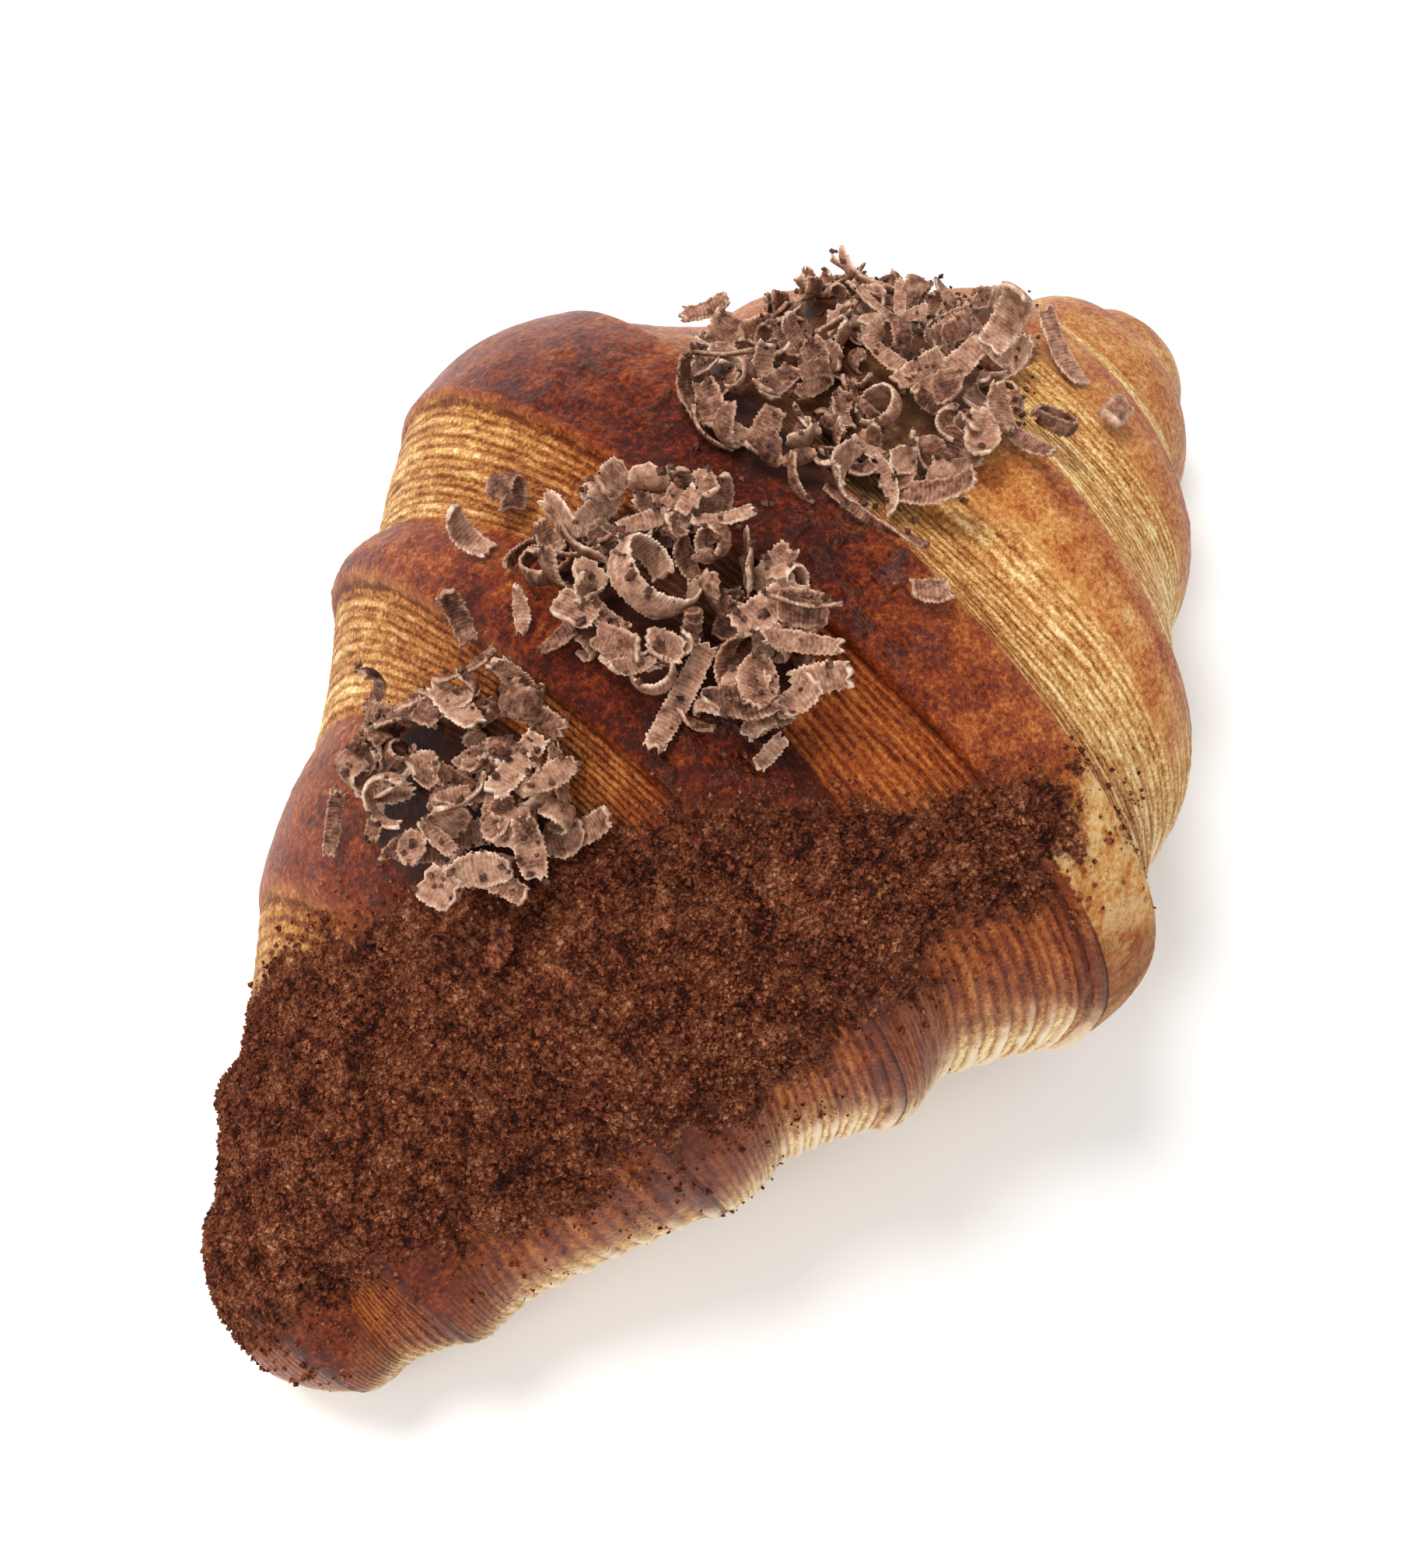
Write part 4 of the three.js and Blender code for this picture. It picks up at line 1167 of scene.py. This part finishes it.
OCTAHEDRON = np.array([[1, 0, 0], [-1, 0, 0], [0, 1, 0], [0, -1, 0], [0, 0, 1], [0, 0, -1]], float)
OCTAHEDRON_FACES = np.array([
    [0, 2, 4], [2, 1, 4], [1, 3, 4], [3, 0, 4], [2, 0, 5], [1, 2, 5], [3, 1, 5], [0, 3, 5]])


def grains(centres, sizes, rng, flat=1.0):
    """Small uneven solids with eight faces at each centre."""
    count = len(centres)
    shape = OCTAHEDRON[None] * rng.uniform(0.6, 1.25, (count, 6, 1))
    turn = rng.normal(0, 1, (count, 4))
    turn /= np.linalg.norm(turn, axis=1, keepdims=True)
    w, x, y, z = turn.T
    matrix = np.stack([
        1 - 2 * (y * y + z * z), 2 * (x * y - z * w), 2 * (x * z + y * w),
        2 * (x * y + z * w), 1 - 2 * (x * x + z * z), 2 * (y * z - x * w),
        2 * (x * z - y * w), 2 * (y * z + x * w), 1 - 2 * (x * x + y * y)], -1).reshape(count, 3, 3)
    points = np.einsum("nij,nkj->nki", matrix, shape * sizes[:, None, None])
    points[..., 2] *= flat
    points = points + centres[:, None, :]
    faces = OCTAHEDRON_FACES[None] + 6 * np.arange(count)[:, None, None]
    return points.reshape(-1, 3), faces.reshape(-1, 3)


def build_loose_flakes(field, on_top, chocolate):
    """Small flakes and crumbs between the big shavings, which mostly stay in sight."""
    rng = np.random.default_rng(20)
    for clump, shaded_bed in CLUMP_BEDS.items():
        parts = []
        for _ in range(FLAKES[clump]):
            piece = random_flake(rng)
            piece["x"], piece["y"] = point_in(shaded_bed, rng, 0.98)
            points, quads, masks = shaving_mesh(piece, rng, 0.12)
            points = (points - points.mean(0)) @ orientation_of(piece).T
            points[:, :2] += [piece["x"], piece["y"]]
            hides = on_top[field.cells(points)].mean()
            points[:, 2] += field.lift(points, 0.8)
            over = points[:, 2].max() - roll_height(piece["x"], piece["y"])
            if hides > 0.6 or over > PILE_HEIGHT[clump] or points[:, 2].max() > TOP_LIMIT:
                continue
            field.raise_to(points)
            parts.append((points, quads, masks))
        piece = mesh_object(clump + "_loose_flakes", *joined(parts)[:2], chocolate, joined(parts)[2])
        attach(piece, "root")
        centres = np.array([[*point_in(shaded_bed, rng, 1.12), 0.0] for _ in range(CRUMBS[clump])])
        sizes = rng.uniform(0.15, 0.55, len(centres))
        i, j = field.cells(centres)
        on_roll = field.z[i, j] > 20
        centres, sizes, i, j = centres[on_roll], sizes[on_roll], i[on_roll], j[on_roll]
        centres[:, 2] = field.z[i, j] + 0.4 * sizes
        points, faces = grains(centres, sizes, rng, 0.7)
        crumbs = mesh_object(clump + "_crumbs", points, faces, chocolate, smooth=False)
        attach(crumbs, "root")


def build_cocoa_grains(points, normals, cocoa, material):
    """Loose grains of cocoa powder, thick in the patch and thinning out round it."""
    rng = np.random.default_rng(30)
    chance = cocoa**1.5 * np.linalg.norm(np.cross(
        np.gradient(points, axis=0), np.gradient(points, axis=1)), axis=-1)
    chance = (chance / chance.sum()).ravel()
    for number in range(COCOA_PIECES):
        chosen = rng.choice(chance.size, GRAINS_PER_PIECE, p=chance)
        centres = points.reshape(-1, 3)[chosen] + rng.uniform(-0.12, 0.12, (GRAINS_PER_PIECE, 3))
        sizes = 0.12 + 0.34 * rng.uniform(0, 1, GRAINS_PER_PIECE) ** 2.5
        centres += normals.reshape(-1, 3)[chosen] * (0.15 * sizes)[:, None]
        shape, faces = grains(centres, sizes, rng, 0.75)
        shape[:, 2] = np.maximum(shape[:, 2], 0.02)
        piece = mesh_object("cocoa_powder_%d" % (number + 1), shape, faces, material, smooth=False)
        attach(piece, "root")


COCOA_PIECES = 2
GRAINS_PER_PIECE = 14000


# ------------------------------------------------------------------ floor, light and camera
def build_floor():
    bpy.ops.mesh.primitive_plane_add(size=6.0, location=(0, 0, -0.0001))
    floor = bpy.context.object
    floor.name = "floor"
    floor.data.materials.append(floor_material())


def area_light(name, position, size, power):
    light = bpy.data.lights.new(name, "AREA")
    light.shape = "DISK"
    light.size = size
    light.energy = power
    lamp = bpy.data.objects.new(name, light)
    bpy.context.scene.collection.objects.link(lamp)
    lamp.location = position
    lamp.rotation_euler = (-Vector(position)).to_track_quat("-Z", "Y").to_euler()


def build_lights():
    world = bpy.data.worlds.new("studio")
    bpy.context.scene.world = world
    world.use_nodes = True
    background = world.node_tree.nodes["Background"]
    background.inputs["Color"].default_value = (1.0, 1.0, 1.0, 1.0)
    background.inputs["Strength"].default_value = 0.67
    area_light("key", (-0.05, 0.25, 0.6), 0.22, 2.5)
    area_light("fill", (-0.5, -0.1, 0.5), 0.5, 1.5)
    bpy.context.scene.view_settings.view_transform = "Standard"


CAMERA_AZIMUTH = -47.9
CAMERA_ELEVATION = 63.5
CAMERA_DISTANCE = 159.1
CAMERA_ROLL = 5.0
CAMERA_TARGET = (-10.0, -2.7, 17.1)
FOCAL_SHARE = 0.863
SENSOR = 36.0


def build_camera():
    a, e, roll = (math.radians(v) for v in (CAMERA_AZIMUTH, CAMERA_ELEVATION, CAMERA_ROLL))
    back = Vector((math.sin(a) * math.cos(e), -math.cos(a) * math.cos(e), math.sin(e)))
    level = Vector((math.cos(a), math.sin(a), 0))
    above = back.cross(level)
    right = level * math.cos(roll) + above * math.sin(roll)
    up = above * math.cos(roll) - level * math.sin(roll)
    data = bpy.data.cameras.new("camera")
    data.sensor_width = SENSOR
    data.lens = FOCAL_SHARE * SENSOR
    data.clip_start = 0.01
    camera = bpy.data.objects.new("camera", data)
    bpy.context.scene.collection.objects.link(camera)
    camera.location = (Vector(CAMERA_TARGET) + back * CAMERA_DISTANCE) * MM
    camera.rotation_euler = Matrix((right, up, back)).transposed().to_euler()
    bpy.context.scene.camera = camera


def main():
    crust = crust_material()
    chocolate = chocolate_material()
    cocoa = cocoa_material()
    points, normals, mask = build_croissant(crust)
    field = Field()
    field.raise_to(points.reshape(-1, 3))
    bare = field.z.copy()
    field.raise_to(build_cad_shavings(chocolate, cocoa))
    build_loose_flakes(field, (field.z > bare + 0.4) & (field.z < bare + 5.0), chocolate)
    build_cocoa_grains(points, normals, mask, cocoa)
    build_floor()
    build_lights()
    build_camera()


main()
